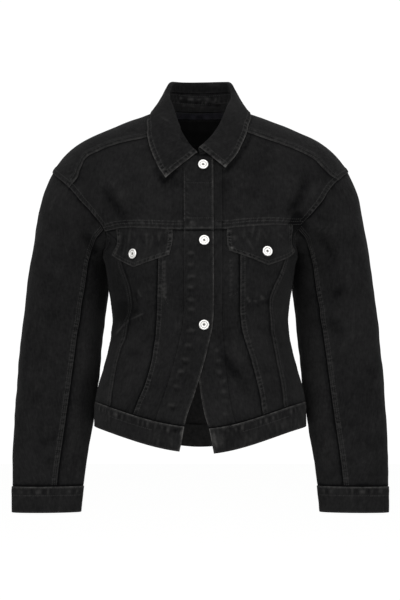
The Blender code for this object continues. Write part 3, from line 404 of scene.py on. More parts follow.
@dataclass(frozen=True)
class Pattern:
    """Where the seams, edges and openings run over the body."""

    torso: Torso = Torso()
    front_out: float = 1.2
    front_in: float = 2.1
    front_blend: Pair = (9, 36)
    placket_widths: Pair = (46.5, 44)
    band_height: float = 39.5
    neckline: Table = (
        (-12, -73), (0, -72), (8, -57), (16, -33), (25, -16), (35, -6), (50, 1), (70, 4.6), (90, 6.5), (130, 6.5),
        (180, 4.6),
    )
    armhole_height: float = -156
    armhole_half_height: float = 60
    armhole_half_angle: Pair = (42, 40)
    armhole_corners: Pair = (2, 2.3)
    shoulder_seam_at: Pair = (56, 44)
    chest_seam_at: Pair = (126, 114.5)
    chest_seam_height: float = -188.6
    chest_seams: tuple[Table, Table] = (
        ((10, -189.6), (40, -189.4), (78, -187.4), (109, -186.4), (125, -187), (138, -189.6)),
        ((10, -189.2), (41.5, -187.7), (72.5, -184.4), (100, -182.8), (119, -182.2), (137, -182.6)),
    )
    back_yoke_at: float = -84
    back_yoke_height: float = -150
    front_edges: tuple[Table, Table] = (
        (
            (-560, -40), (-533, -31.5), (-500, -25.3), (-486, -22.8), (-451, -10.9), (-405, 3.4), (-382, 9.6),
            (-358, 15.1), (-341, 18.8), (-299, 21.3), (-190, 20.5), (-60, 20),
        ),
        ((-560, 26), (-539, 21.3), (-498, 13.2), (-477, 6.8), (-446, 0.9), (-392, -5), (-330, -9.6), (-60, -9.6)),
    )
    inner_seams: tuple[Table, Table] = (
        ((-505, 114), (-467, 101.5), (-427, 85), (-382, 74), (-338, 69), (-280, 66.5), (-185, 64)),
        (
            (-505, 101), (-473, 97), (-445, 93), (-418, 86.5), (-387, 78), (-360, 69.5), (-338, 64.5), (-310, 62),
            (-185, 62),
        ),
    )
    outer_seams: tuple[Table, Table] = (
        (
            (-505, 145), (-468, 141), (-434, 137.5), (-400, 131.5), (-377, 125), (-346, 115), (-307, 107),
            (-278, 111), (-246, 122), (-222, 128), (-205, 133),
        ),
        (
            (-505, 134), (-468, 131), (-428, 127), (-406, 122.5), (-383, 118), (-361, 114), (-325, 109),
            (-300, 108.5), (-277, 115.8), (-258, 125), (-243, 130), (-222, 135.5), (-205, 140),
        ),
    )
    shoulder_seams: tuple[Table, Table] = (
        (
            (84, -42.5), (120.6, -50), (146.6, -57.8), (164.9, -65.5), (177.9, -72.5), (183.4, -79), (187, -88),
            (191, -99.5), (197.5, -111),
        ),
        ((77.8, -35.6), (117, -49.9), (143.1, -59.2), (164, -68.2), (182.3, -79.2), (192.6, -90.5), (204, -101.5)),
    )
    shoulder_seam_neck: float = 20
    back_seam: Table = ((-505, 62), (-400, 58), (-340, 60), (-240, 76), (-145, 92))
    hem_at_side: float = -501
    hem_drops: Triple = (35, 37, 40)
    hem_powers: Triple = (3.2, 3.8, 3.2)

    @staticmethod
    def own(values: tuple, side: Side) -> object:
        """The one of a (right, left) pair that belongs to a side."""
        return values[0] if side is Side.RIGHT else values[1]

    def lift(self, side: Side, angle: Array) -> Array:
        """How far a front lies out from the body: the right one laps over the left."""
        toward_edge = 1 - ease(side.value * angle, *self.front_blend)
        return toward_edge * (self.front_out if side is Side.RIGHT else -self.front_in)

    def neck_height(self, angle: Array) -> Array:
        """Height of the neck seam at body angles, which may run past the back."""
        return smooth(self.neckline, 1, 180 - np.abs(180 - np.abs(angle)))

    def own_neck_height(self, side: Side, angle: Array) -> Array:
        """Height of one front's neck seam, which stays level past the centre."""
        return smooth(self.neckline, 1, side.value * angle)

    def armhole(self, side: Side, degrees: Array) -> tuple[Array, Array]:
        """Angle and height on an armhole, at degrees from its top towards the front."""
        forwards, upwards = superellipse(degrees, self.own(self.armhole_corners, side))
        half = np.where(np.asarray(forwards) > 0, *self.armhole_half_angle)
        height = self.armhole_height + self.armhole_half_height * upwards
        return side.value * (90 - half * forwards), height

    def hem_height(self, angle: Array) -> Array:
        """Height of the hem, which drops towards the centre front and the centre back."""
        angle = np.asarray(angle, float)
        forwards = np.cos(np.radians(angle))
        drop, power = (
            np.where(forwards > 0, np.where(angle < 0, ends[0], ends[1]), ends[2])
            for ends in (self.hem_drops, self.hem_powers)
        )
        return self.hem_at_side - drop * np.abs(forwards) ** power

    def own_hem_height(self, side: Side, angle: Array) -> Array:
        """Height of one front's hem, level past the centre."""
        sign = side.value
        return self.hem_height(sign * np.maximum(sign * np.asarray(angle, float), 0.5))

    def band_top(self, side: Side, angle: Array) -> Array:
        """Height of the waistband's upper edge in front."""
        return self.own_hem_height(side, angle) + self.band_height

    def chest_height(self, side: Side, angle: Array) -> Array:
        """Height of the seam under the front yoke."""
        end_angle, end_height = self.armhole(side, self.own(self.chest_seam_at, side))
        sign = side.value
        rows = tuple((sign * float(self.torso.angle_at(sign * x, z)), z) for x, z in self.own(self.chest_seams, side))
        return smooth((*rows, (sign * float(end_angle), float(end_height))), 1, sign * np.asarray(angle, float))

    def edge_angle(self, side: Side, height: Array, inset: float = 0) -> Array:
        """Angle of a front edge, or of a line a given width in from it."""
        x = smooth(self.own(self.front_edges, side), 1, height)
        return self.torso.angle_at(x + side.value * inset, height)

    def placket_line(self, side: Side) -> Line:
        """The seam along the inner side of the button strip, as an angle by height."""
        width = self.own(self.placket_widths, side)
        return lambda height: self.edge_angle(side, height, width)

    def inner_line(self, side: Side) -> Line:
        """The lower front's inner seam, as an angle by height."""
        table = self.own(self.inner_seams, side)
        return lambda height: self.torso.angle_at(side.value * smooth(table, 1, height), height)

    def outer_line(self, side: Side) -> Line:
        """The lower front's outer seam, drawn to the armhole at its top, as an angle by height."""
        end_angle, end_height = self.armhole(side, self.own(self.chest_seam_at, side))
        table = self.own(self.outer_seams, side)
        top = table[-1][0]

        def line(height: Array) -> Array:
            """The seam's angle at heights."""
            x = side.value * smooth(table, 1, np.minimum(height, top))
            plain = self.torso.angle_at(x, np.minimum(height, top))
            rise = np.clip((height - top) / (end_height - top), 0, 1)
            return plain + (end_angle - plain) * rise

        return line

    def back_line(self, side: Side) -> Line:
        """The back panels' seam, as an angle by height."""

        def line(height: Array) -> Array:
            """The seam's angle at heights."""
            half_width, _, corners = self.torso.sizes(side.value * 135, height)
            return side.value * (180 - turn_of(smooth(self.back_seam, 1, height) / half_width, corners))

        return line

    def foot_of(self, line: Line, band_top: Line) -> float:
        """Height where a seam meets the waistband."""
        height = -480
        for _ in range(8):
            height = float(band_top(line(height)))
        return height

    def chest_crossing(self, line: Line, side: Side) -> float:
        """Height where a seam meets the chest seam."""
        height = self.chest_seam_height
        for _ in range(8):
            height = float(self.chest_height(side, line(height)))
        return height

    def neck_crossing(self, line: Line, side: Side) -> float:
        """Height where a seam meets the neck seam."""
        height = -62
        for _ in range(30):
            height = 0.5 * (height + float(self.own_neck_height(side, line(height))))
        return height

    def shoulder_seam(self, side: Side) -> Line:
        """The seam between front yoke and back yoke, from the neck to the armhole."""
        sign = side.value
        neck_angle = sign * self.shoulder_seam_neck
        points = [(neck_angle, float(self.own_neck_height(side, neck_angle)))]
        points += [
            (float(self.torso.angle_at(sign * x, z)), z) for x, z in self.own(self.shoulder_seams, side)
        ]
        points.append(tuple(map(float, self.armhole(side, self.own(self.shoulder_seam_at, side)))))
        places = np.array([self.torso.point(np.float64(a), np.float64(z)) for a, z in points])
        steps = np.linalg.norm(np.diff(places, axis=0), axis=1)
        shares = np.concatenate([[0], np.cumsum(steps)]) / steps.sum()
        rows = tuple((float(share), *point) for share, point in zip(shares, points))
        return lambda share: pair(smooth(rows, 1, share), smooth(rows, 2, share))

    def along_armhole(self, side: Side, first: float, last: float) -> Line:
        """A stretch of the armhole between two of its angles."""
        return lambda share: pair(*self.armhole(side, first + (last - first) * share))

    def laid(self, patch: Surface, out: Line | None = None) -> Surface:
        """A patch of (angle, height) as a surface in space.

        Args:
            patch: the patch.
            out: how far out from the body it lies, by angle.

        Returns:
            The surface.
        """

        def surface(across: Array, up: Array) -> Array:
            """The patch's points on the body."""
            spot = patch(across, up)
            lift = out(spot[..., 0]) if out else 0
            return self.torso.at(spot[..., 0], spot[..., 1], lift)

        return surface


@dataclass(frozen=True)
class Arm:
    """The sleeve surface: rings that leave the body at the armhole."""

    pattern: Pattern = Pattern()
    rings: Table = (
        (0, 236.5, -97, 0, 149, -215, 0, 77), (32, 249.5, -126, 2, 154, -226, 16, 75),
        (66, 258, -158, 6, 148.5, -240, 42, 70), (108, 265.5, -202, 8, 147.5, -259, 45, 67),
        (150, 273.3, -247, 10, 148.4, -284, 45, 63), (205, 281, -305, 14, 153, -323, 40, 59),
        (265, 288.2, -363, 20, 157.7, -372, 34, 54), (330, 294.4, -428, 22, 163.7, -430, 29, 48),
        (400, 299.1, -498, 16, 172.6, -498, 21, 40), (470, 301.3, -568, 7, 183.5, -567, 9, 30),
        (500, 301.1, -598, 3, 187.3, -597, 4, 24), (542, 300.6, -639, -1, 191.3, -638, -1, 21),
    )
    blend: float = 95
    corners: float = 2.15
    cuff_from: float = 499
    cuff_to: float = 541.5
    gap: Pair = (0.5, 1.6)
    tuck_length: float = 4
    hug: Triple = (0.5, 5, 14)
    folds: Table = ((150, 60, 60, 125, 12, 3), (165, 190, 70, 245, 12, 2.5), (-150, 225, -70, 280, 12, 2.5))
    mm_per_degree: float = 1.1

    def ring(self, side: Side, degrees: Array, along: Array) -> Array:
        """A point of the plain sleeve, before it's drawn to the armhole."""
        outer_x, outer_z, outer_y, inner_x, inner_z, inner_y, half_depth = (
            smooth(self.rings, column, along) for column in range(1, 8)
        )
        forwards, outwards = superellipse(degrees, self.corners)
        x, y, z = (
            0.5 * (outer + inner) + 0.5 * (outer - inner) * outwards
            for outer, inner in ((outer_x, inner_x), (outer_y, inner_y), (outer_z, inner_z))
        )
        return np.stack(np.broadcast_arrays(side.value * x, y - half_depth * forwards, z), axis=-1)

    def point(self, side: Side, degrees: Array, along: Array) -> Array:
        """A point of the sleeve, which starts on the armhole."""
        start = self.pattern.torso.point(*self.pattern.armhole(side, degrees))
        pull = (1 - ease(along, 0, self.blend))[..., None]
        return self.ring(side, degrees, along) + (start - self.ring(side, degrees, 0 * along)) * pull

    def at(self, side: Side, degrees: Array, along: Array, out: float = 0) -> Array:
        """A point a given distance out from the sleeve, folds included."""
        near = np.maximum(along - 0.5, 0)
        round_arm = self.point(side, degrees + 0.5, along) - self.point(side, degrees - 0.5, along)
        down_arm = self.point(side, degrees, along + 0.5) - self.point(side, degrees, near)
        normal = unit(np.cross(round_arm, down_arm)) * side.value
        at_body = self.pattern.torso.normal(*self.pattern.armhole(side, degrees))
        agree = ease(np.sum(normal * at_body, axis=-1), 0.3, 0.8) * (1 - ease(along, 0, 22))
        normal = unit(normal * (1 - agree[..., None]) + at_body * agree[..., None])
        scale = self.mm_per_degree
        raised = np.zeros(np.broadcast(degrees, along).shape)
        for first, first_along, last, last_along, width, rise in self.folds:
            fold = Fold(((first * scale, first_along), (last * scale, last_along)), width, rise)
            raised = raised + fold.height(np.asarray(degrees) * scale, along)
        raised = raised * ease(along, 20, 60)
        point = self.point(side, degrees, along) + normal * (raised + out)[..., None]
        from_top = np.abs(180 - np.mod(180 - np.asarray(degrees), 360))
        nearness = ease(from_top, 105, 150) * (1 - ease(along, 14, 42))
        return self.pattern.torso.hugged(point, nearness, self.hug)

    def under_body(self, side: Side, degrees: Array, part: float) -> Array:
        """A point of the seam allowance that runs from the sleeve's end in under the body."""
        angle, height = self.pattern.armhole(side, degrees)
        grow = 1 + part * self.tuck_length / self.pattern.armhole_half_height
        angle = side.value * 90 + (angle - side.value * 90) * grow
        height = self.pattern.armhole_height + (height - self.pattern.armhole_height) * grow
        return self.pattern.torso.at(angle, height, -0.6 - 1.2 * part)

    def rows(self, degrees: Array, share: Array) -> Array:
        """Distance along the sleeve at a share of its length."""
        from_top = np.abs(180 - np.mod(180 - degrees, 360))
        start = self.gap[0] + (self.gap[1] - self.gap[0]) * ease(from_top, 55, 95)
        return start + (self.cuff_from - start - 0.2) * (0.8 * share + 0.2 * share**2)


@dataclass(frozen=True)
class Neck:
    """The collar's surfaces: the stand up from the neck seam, and the leaf over its roll."""

    pattern: Pattern = Pattern()
    fronts: tuple[Table, Table] = (
        (
            (1.4, 5.5, -91, -68.5, 12.95, -109), (8, 16, -82, -57, 16.6, -88), (16, 28, -66, -36.4, 20.1, -68),
            (25, 36.7, -52, -15, 24.3, -49), (35, 40.8, -39, -0.5, 30.5, -31), (50, 45.1, -26, 11, 41, -16.5),
        ),
        (
            (-0.3, -1.8, -91, -60.5, 9.4, -94), (8, 16, -81, -44, 14.1, -75), (16, 28, -65, -27.5, 18.6, -55),
            (25, 34.4, -53, -14, 24.1, -38), (35, 40, -40, 0, 31.4, -24), (50, 44.7, -26, 11, 42.6, -13),
        ),
    )
    back: Table = (
        (70, 49.6, -12, 22, 52, -7.2), (90, 50.8, 4, 33.6, 76, 0), (107, 49.4, 20, 45.6, 102, 0.5),
        (127, 43.6, 38, 52.2, 128, -3), (152, 25, 50, 52.7, 153, -8), (180, 0, 53, 52.7, 180, -10),
        (208, -25, 50, 52.7, 207, -8),
    )
    fold_radius: float = 2.4
    off_body: Pair = (3.1, 4.8)
    over_placket: Pair = (8, 16)
    stand_share: Pair = (0.3, 0.66)
    stand_off_neck: float = 0.3
    stand_off_leaf: float = 0.4
    rise_share: float = 1 / 11
    fold_share: float = 5 / 11

    def clearance(self, angle: Array) -> Array:
        """How far the leaf's face lies out from the body: more over the button strips."""
        low, high = self.off_body
        return high + (low - high) * ease(np.abs(angle), *self.over_placket)

    def frame(self, column: Array) -> list[Array]:
        """Neck seam, roll line and leaf edge at shares round the collar, from right to left."""
        last = len(self.fronts[0]) + len(self.back) - 2
        number = last * (1 - np.abs(2 * column - 1))
        found = []
        for side in Side:
            rows = tuple(
                (float(n), *row) for n, row in enumerate(Pattern.own(self.fronts, side) + self.back)
            )
            neck_angle, roll_x, roll_y, roll_z, edge, edge_z = (
                smooth(rows, item, number) for item in range(1, 7)
            )
            sign = side.value
            neck = self.pattern.torso.at(
                sign * neck_angle, self.pattern.own_neck_height(side, sign * neck_angle)
            )
            roll = np.stack([sign * roll_x, roll_y, roll_z], axis=-1)
            leaf = self.pattern.torso.at(sign * edge, edge_z, self.clearance(edge))
            found.append((neck, roll, leaf))
        on_right = (column < 0.5)[..., None]
        return [np.where(on_right, right, left) for right, left in zip(*found)]

    def seam(self, column: Array, neck: Array, roll: Array) -> Array:
        """The seam between stand and leaf, on the line from the neck seam to the roll line."""
        low, high = self.stand_share
        share = low + (high - low) * ease(np.abs(2 * column - 1), 1, 0.45)
        return neck + (roll - neck) * share[..., None]

    def stand(self, column: Array, up: Array) -> Array:
        """The stand's inner face, from the neck seam up."""
        neck, roll, _ = self.frame(column)
        foot = neck + unit(roll - neck) * self.stand_off_neck
        top = self.seam(column, neck, roll) - unit(roll - neck) * self.stand_off_leaf
        return foot + (top - foot) * up[..., None]

    def leaf(self, column: Array, up: Array) -> Array:
        """The leaf's upper face: up from the stand, over the fold, and down to its edge."""
        neck, roll, edge = self.frame(column)
        seam = self.seam(column, neck, roll)
        upward = unit(unit(roll - seam) + unit(roll - edge))
        outward = edge - seam
        outward = unit(outward - upward * np.sum(outward * upward, axis=-1)[..., None])
        centre = roll - upward * self.fold_radius

        def tangent(point: Array, turn: float) -> Array:
            """Angle on the fold's circle where a line from a point touches it."""
            out = np.sum((point - centre) * outward, axis=-1)
            rise = np.sum((point - centre) * upward, axis=-1)
            reach = np.maximum(np.hypot(out, rise), self.fold_radius * 1.001)
            return np.arctan2(rise, out) + turn * np.arccos(self.fold_radius / reach)

        first = np.mod(tangent(seam, -1), 2 * math.pi)
        last = tangent(edge, 1)
        rise, fold = self.rise_share, self.fold_share
        turned = first + (last - first) * np.clip((up - rise) / fold, 0, 1)
        spoke = outward * np.cos(turned)[..., None] + upward * np.sin(turned)[..., None]
        on_fold = centre + spoke * self.fold_radius
        rising = seam + (on_fold - seam) * np.clip(up / rise, 0, 1)[..., None]
        down = np.clip((up - rise - fold) / (1 - rise - fold), 0, 1)
        falling = on_fold + (edge - on_fold) * down[..., None]
        falling = self.pattern.torso.pushed_clear(falling, self.clearance, ease(down, 0, 0.45))
        made = np.where((up < rise)[..., None], rising, on_fold)
        return np.where((up > rise + fold)[..., None], falling, made)


# Finishes.

WHITE = (1, 1, 1, 1)


class Nodes:
    """Builds a material's nodes, one short call each."""

    def __init__(self, name: str) -> None:
        """Starts a material whose tree holds a Principled shader."""
        self.material = bpy.data.materials.new(name)
        self.material.use_nodes = True
        self.tree = self.material.node_tree
        self.shader = self.tree.nodes["Principled BSDF"]

    def add(self, kind: str, settings: dict | None = None, **inputs: object) -> bpy.types.Node:
        """Adds a node.

        Args:
            kind: its type, without the ShaderNode in front.
            settings: its properties.
            inputs: its sockets by name, with _ for a space, as values or as sockets to link.

        Returns:
            The node.
        """
        node = self.tree.nodes.new("ShaderNode" + kind)
        for key, value in (settings or {}).items():
            setattr(node, key, value)
        for key, value in inputs.items():
            socket = node.inputs[int(key[1:])] if key[0] == "i" and key[1:].isdigit() else None
            self.put(socket or node.inputs[key.replace("_", " ")], value)
        return node

    def put(self, socket: bpy.types.NodeSocket, value: object) -> None:
        """Links a socket into another, or sets its value."""
        if isinstance(value, bpy.types.NodeSocket):
            self.tree.links.new(value, socket)
        else:
            socket.default_value = value

    def fill(self, **sockets: object) -> bpy.types.Material:
        """Fills the shader's sockets, named as in add, and gives the material."""
        for key, value in sockets.items():
            self.put(self.shader.inputs[key.replace("_", " ")], value)
        return self.material

    def bump(self, strength: float, distance: float, height: object) -> object:
        """A bumped normal, its distance in metres."""
        return self.add("Bump", Strength=strength, Distance=distance, Height=height).outputs[0]

    def maths(self, operation: str, first: object, second: object = 0, clamp: bool = False) -> object:
        """The result of a Math node."""
        settings = {"operation": operation, "use_clamp": clamp}
        return self.add("Math", settings, i0=first, i1=second).outputs[0]

    def blend(self, share: object, first: object, second: object) -> object:
        """A colour between two, by a share."""
        node = self.add("Mix", {"data_type": "RGBA"})
        self.put(node.inputs["Factor"], share)
        self.put(node.inputs[6], first)
        self.put(node.inputs[7], second)
        return node.outputs[2]

    def noise(self, where: object, scale: float, detail: float = 2) -> object:
        """A noise value from 0 to 1."""
        return self.add("TexNoise", Vector=where, Scale=scale, Detail=detail).outputs["Fac"]

    def ramp(self, value: object, low: float = 0.3, high: float = 0.7) -> object:
        """A value brought from low..high to 0..1, and held there."""
        node = self.add("MapRange", Value=value, From_Min=low, From_Max=high)
        return node.outputs["Result"]


@dataclass(frozen=True)
class DenimFinish:
    """Black denim twill: streaky warp, a diagonal rib, threads rubbed pale along the seams, and painted shade and
    highlight.
    """

    name: str = "denim"
    # The darkest tone, which painted shade also reaches.
    deep_and_shade: Colour = (0.0022, 0.0023, 0.0025, 1)
    plain: Colour = (0.0222, 0.022, 0.0222, 1)
    # The pale tone of rubbed threads, which painted highlight also reaches.
    wear_and_shading_tone: Colour = (0.1, 0.098, 0.095, 1)
    roughness: float = 0.92
    sheen: float = 0.03
    rib_pitch: float = 1.1
    streak: Pair = (2.4, 11)
    thread: Pair = (0.7, 9)
    fleck: float = 5
    cloud: float = 38
    patch: float = 110
    bump: float = 0.4

    def make(self) -> bpy.types.Material:
        """The denim's material."""
        n = Nodes(self.name)
        uv = n.add("UVMap", {"uv_map": "cloth"}).outputs["UV"]
        spot = n.add("TexCoord").outputs["Object"]
        streak, thread = (
            n.noise(n.add("Mapping", Vector=uv, Scale=(1000 / wide, 1000 / long, 1)).outputs[0], 1, 3)
            for wide, long in (self.streak, self.thread)
        )
        fleck = n.noise(spot, 1000 / self.fleck, 3)
        cloud = n.noise(spot, 1000 / self.cloud, 3)
        patch = n.noise(spot, 1000 / self.patch, 2)
        sep = n.add("SeparateXYZ", Vector=uv)
        turns = 2 * math.pi / (self.rib_pitch * MM)
        rib = n.maths("SINE", n.maths("ADD", n.maths("MULTIPLY", sep.outputs[0], turns),
                                      n.maths("MULTIPLY", sep.outputs[1], turns * 0.6)))
        wear_and_shading = n.add("Attribute", {"attribute_name": "wear_and_shading"}).outputs["Fac"]
        tone = n.maths("MULTIPLY", n.ramp(streak), 0.24)
        for value, weight in ((n.ramp(fleck), 0.24), (n.ramp(cloud), 0.24),
                              (n.ramp(patch, 0.35, 0.65), 0.12), (n.ramp(thread), 0.18), (rib, 0.08)):
            tone = n.maths("ADD", tone, n.maths("MULTIPLY", value, weight))
        # Painted shade, below 0, pulls the base towards the darkest tone; rubbed threads and painted highlight, above
        # 0, pull it towards the pale one.
        base = n.blend(n.maths("ADD", tone, n.maths("MINIMUM", wear_and_shading, 0), True), self.deep_and_shade, self.plain)
        tone_reach = n.maths("MULTIPLY", n.maths("MAXIMUM", wear_and_shading, 0),
                       n.maths("ADD", 0.25, n.maths("MULTIPLY", fleck, 1.5)), True)
        height = n.maths("ADD", n.maths("MULTIPLY", rib, 0.35), n.maths("ADD", thread, fleck))
        return n.fill(Base_Color=n.blend(tone_reach, base, self.wear_and_shading_tone), Roughness=self.roughness, Sheen_Weight=self.sheen,
                      Sheen_Roughness=0.5, Specular_IOR_Level=0.05, Normal=n.bump(self.bump, 0.0005, height))


@dataclass(frozen=True)
class ThreadFinish:
    """A twisted thread with a faint gloss."""

    name: str = "thread"
    dark: Colour = (0.009, 0.009, 0.0095, 1)
    light: Colour = (0.04, 0.039, 0.038, 1)

    def make(self) -> bpy.types.Material:
        """The thread's material."""
        n = Nodes(self.name)
        spot = n.add("TexCoord").outputs["Object"]
        patch = n.ramp(n.noise(spot, 300))
        return n.fill(Base_Color=n.blend(patch, self.dark, self.light), Roughness=0.7, Specular_IOR_Level=0.2,
                      Normal=n.bump(0.3, 0.0002, n.noise(spot, 2200)))


@dataclass(frozen=True)
class WovenFinish:
    """A plain or satin weave: the label, the neck tape and the pocket cloth."""

    name: str
    dark: Colour
    light: Colour
    roughness: float
    pitch: float
    sheen: float

    def make(self) -> bpy.types.Material:
        """The weave's material."""
        n = Nodes(self.name)
        uv = n.add("UVMap", {"uv_map": "cloth"}).outputs["UV"]
        sep = n.add("SeparateXYZ", Vector=uv)
        turns = 2 * math.pi / (self.pitch * MM)
        weave = n.maths("MULTIPLY", n.maths("SINE", n.maths("MULTIPLY", sep.outputs[0], turns)),
                        n.maths("SINE", n.maths("MULTIPLY", sep.outputs[1], turns)))
        spot = n.add("TexCoord").outputs["Object"]
        tone = n.maths("ADD", n.maths("MULTIPLY", weave, 0.15), n.ramp(n.noise(spot, 90)))
        colour = n.blend(n.maths("ADD", tone, 0, True), self.dark, self.light)
        return n.fill(Base_Color=colour, Roughness=self.roughness, Sheen_Weight=self.sheen, Specular_IOR_Level=0.1,
                      Normal=n.bump(0.25, 0.0002, weave))


@dataclass(frozen=True)
class MetalFinish:
    """Plated button metal, with painted shade in its recesses."""

    name: str = "button_metal"
    bright: Colour = (0.93, 0.92, 0.895, 1)
    recess_shade: Colour = (0.17, 0.165, 0.155, 1)

    def make(self) -> bpy.types.Material:
        """The metal's material."""
        n = Nodes(self.name)
        spot = n.add("TexCoord").outputs["Object"]
        cloud = n.noise(spot, 420, 3)
        # The profile's tone, as painted shade in the recesses.
        wear_and_shading = n.add("Attribute", {"attribute_name": "wear_and_shading"}).outputs["Fac"]
        tone = n.maths("ADD", wear_and_shading, n.maths("MULTIPLY", n.ramp(cloud, 0.35, 0.65), 0.15), True)
        return n.fill(Base_Color=n.blend(tone, self.recess_shade, self.bright), Metallic=0.8,
                      Roughness=n.ramp(cloud, -0.6, 2.2), Normal=n.bump(0.1, 0.0002, cloud))


class Wardrobe:
    """The finishes, each made once."""

    finishes = {
        "denim": DenimFinish(),
        "thread": ThreadFinish(),
        "pocket_cloth": WovenFinish(
            "pocket_cloth", (0.008, 0.008, 0.009, 1), (0.018, 0.018, 0.019, 1), 0.9, 0.6, 0.05
        ),
        "tape": WovenFinish("tape", (0.004, 0.004, 0.0065, 1), (0.022, 0.0215, 0.028, 1), 0.5, 0.8, 0.1),
        "label": WovenFinish("label", (0.0015, 0.0015, 0.0016, 1), (0.004, 0.004, 0.004, 1), 0.5, 0.5, 0.02),
        "button_metal": MetalFinish(),
    }

    def __init__(self) -> None:
        """Starts with no material made."""
        self.made: dict[str, bpy.types.Material] = {}

    def finish(self, name: str) -> bpy.types.Material:
        """The material of a finish."""
        if name not in self.made:
            self.made[name] = self.finishes[name].make()
        return self.made[name]


# Sewing.


def placed(name: str, data: bpy.types.ID) -> bpy.types.Object:
    """A new object in the scene."""
    made = bpy.data.objects.new(name, data)
    bpy.context.scene.collection.objects.link(made)
    return made


def link(name: str, mesh: bpy.types.Mesh, material: bpy.types.Material, slot: str) -> bpy.types.Object:
    """Puts a mesh in the scene as a piece that rides on the jacket.

    Args:
        name: the piece's name.
        mesh: its mesh, in metres.
        material: its material.
        slot: not used.

    Returns:
        The new object.
    """
    mesh.materials.append(material)
    made = placed(name, mesh)
    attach(made, "root")
    return made


@dataclass
class Sewing:
    """Collects the stitches of one part of the jacket, and makes them as one piece."""

    name: str
    pitch: float = 3.3
    length: float = 2.7
    radius: float = 0.42
    sides: int = 5
    sunk: float = 0.35
    proud: float = 0.12
    bends_at: float = 0.26
    flatness: float = 0.8
    spots: list[Array] = field(default_factory=list)

    def run(self, path: Array, normals: Array) -> None:
        """Sews along a path.

        Args:
            path: its points, on the cloth.
            normals: the cloth's normals there.
        """
        steps = np.linalg.norm(np.diff(path, axis=0), axis=1)
        passed = np.concatenate([[0], np.cumsum(steps)])
        count = int(passed[-1] / self.pitch)
        if count < 2:
            return
        at = (np.arange(count) + 0.5) * passed[-1] / count

        def read(values: Array, where: Array) -> Array:
            """A table's values at distances along the path."""
            return np.stack([np.interp(where, passed, values[:, k]) for k in range(3)], axis=-1)

        middle = read(path, at)
        tangent = unit(read(path, at + 0.8) - read(path, at - 0.8))
        normal = read(normals, at)
        normal = unit(normal - tangent * np.sum(normal * tangent, axis=-1, keepdims=True))
        self.spots.append(np.stack([middle, tangent, normal], axis=1))

    def make(self, wardrobe: Wardrobe) -> bpy.types.Object:
        """The stitches as one mesh: each a thread that rises from the cloth and goes back in."""
        spots = np.concatenate(self.spots)
        middle, tangent, normal = spots[:, 0], spots[:, 1], spots[:, 2]
        across = np.cross(normal, tangent)
        count, sides = len(spots), self.sides
        turn = 2 * math.pi * np.arange(sides) / sides
        points = np.zeros((count, 2 * sides + 2, 3))
        points[:, 0] = middle - tangent * self.length * 0.5 - normal * self.sunk
        points[:, -1] = middle + tangent * self.length * 0.5 - normal * self.sunk
        for ring, shift in enumerate((-self.bends_at, self.bends_at)):
            for k in range(sides):
                spoke = across * math.cos(turn[k]) + normal * (math.sin(turn[k]) * self.flatness)
                centre = middle + tangent * (self.length * shift) + normal * self.proud
                points[:, 1 + ring * sides + k] = centre + spoke * self.radius
        faces = []
        for k in range(sides):
            after = (k + 1) % sides
            faces.append((0, 1 + after, 1 + k, 1 + k))
            faces.append((1 + k, 1 + after, 1 + sides + after, 1 + sides + k))
            faces.append((1 + sides + k, 1 + sides + after, 2 * sides + 1, 2 * sides + 1))
        listed = []
        for face in faces:
            corners = list(dict.fromkeys(face))
            listed.append(np.array(corners)[None, :] + (np.arange(count) * (2 * sides + 2))[:, None])
        mesh = bpy.data.meshes.new(self.name)
        mesh.from_pydata(points.reshape(-1, 3) * MM, [], [tuple(row) for block in listed for row in block.tolist()])
        mesh.polygons.foreach_set("use_smooth", np.ones(len(mesh.polygons), bool))
        made = link(self.name, mesh, wardrobe.finish("thread"), "denim")
        log.info("%s: %d stitches", self.name, count)
        return made


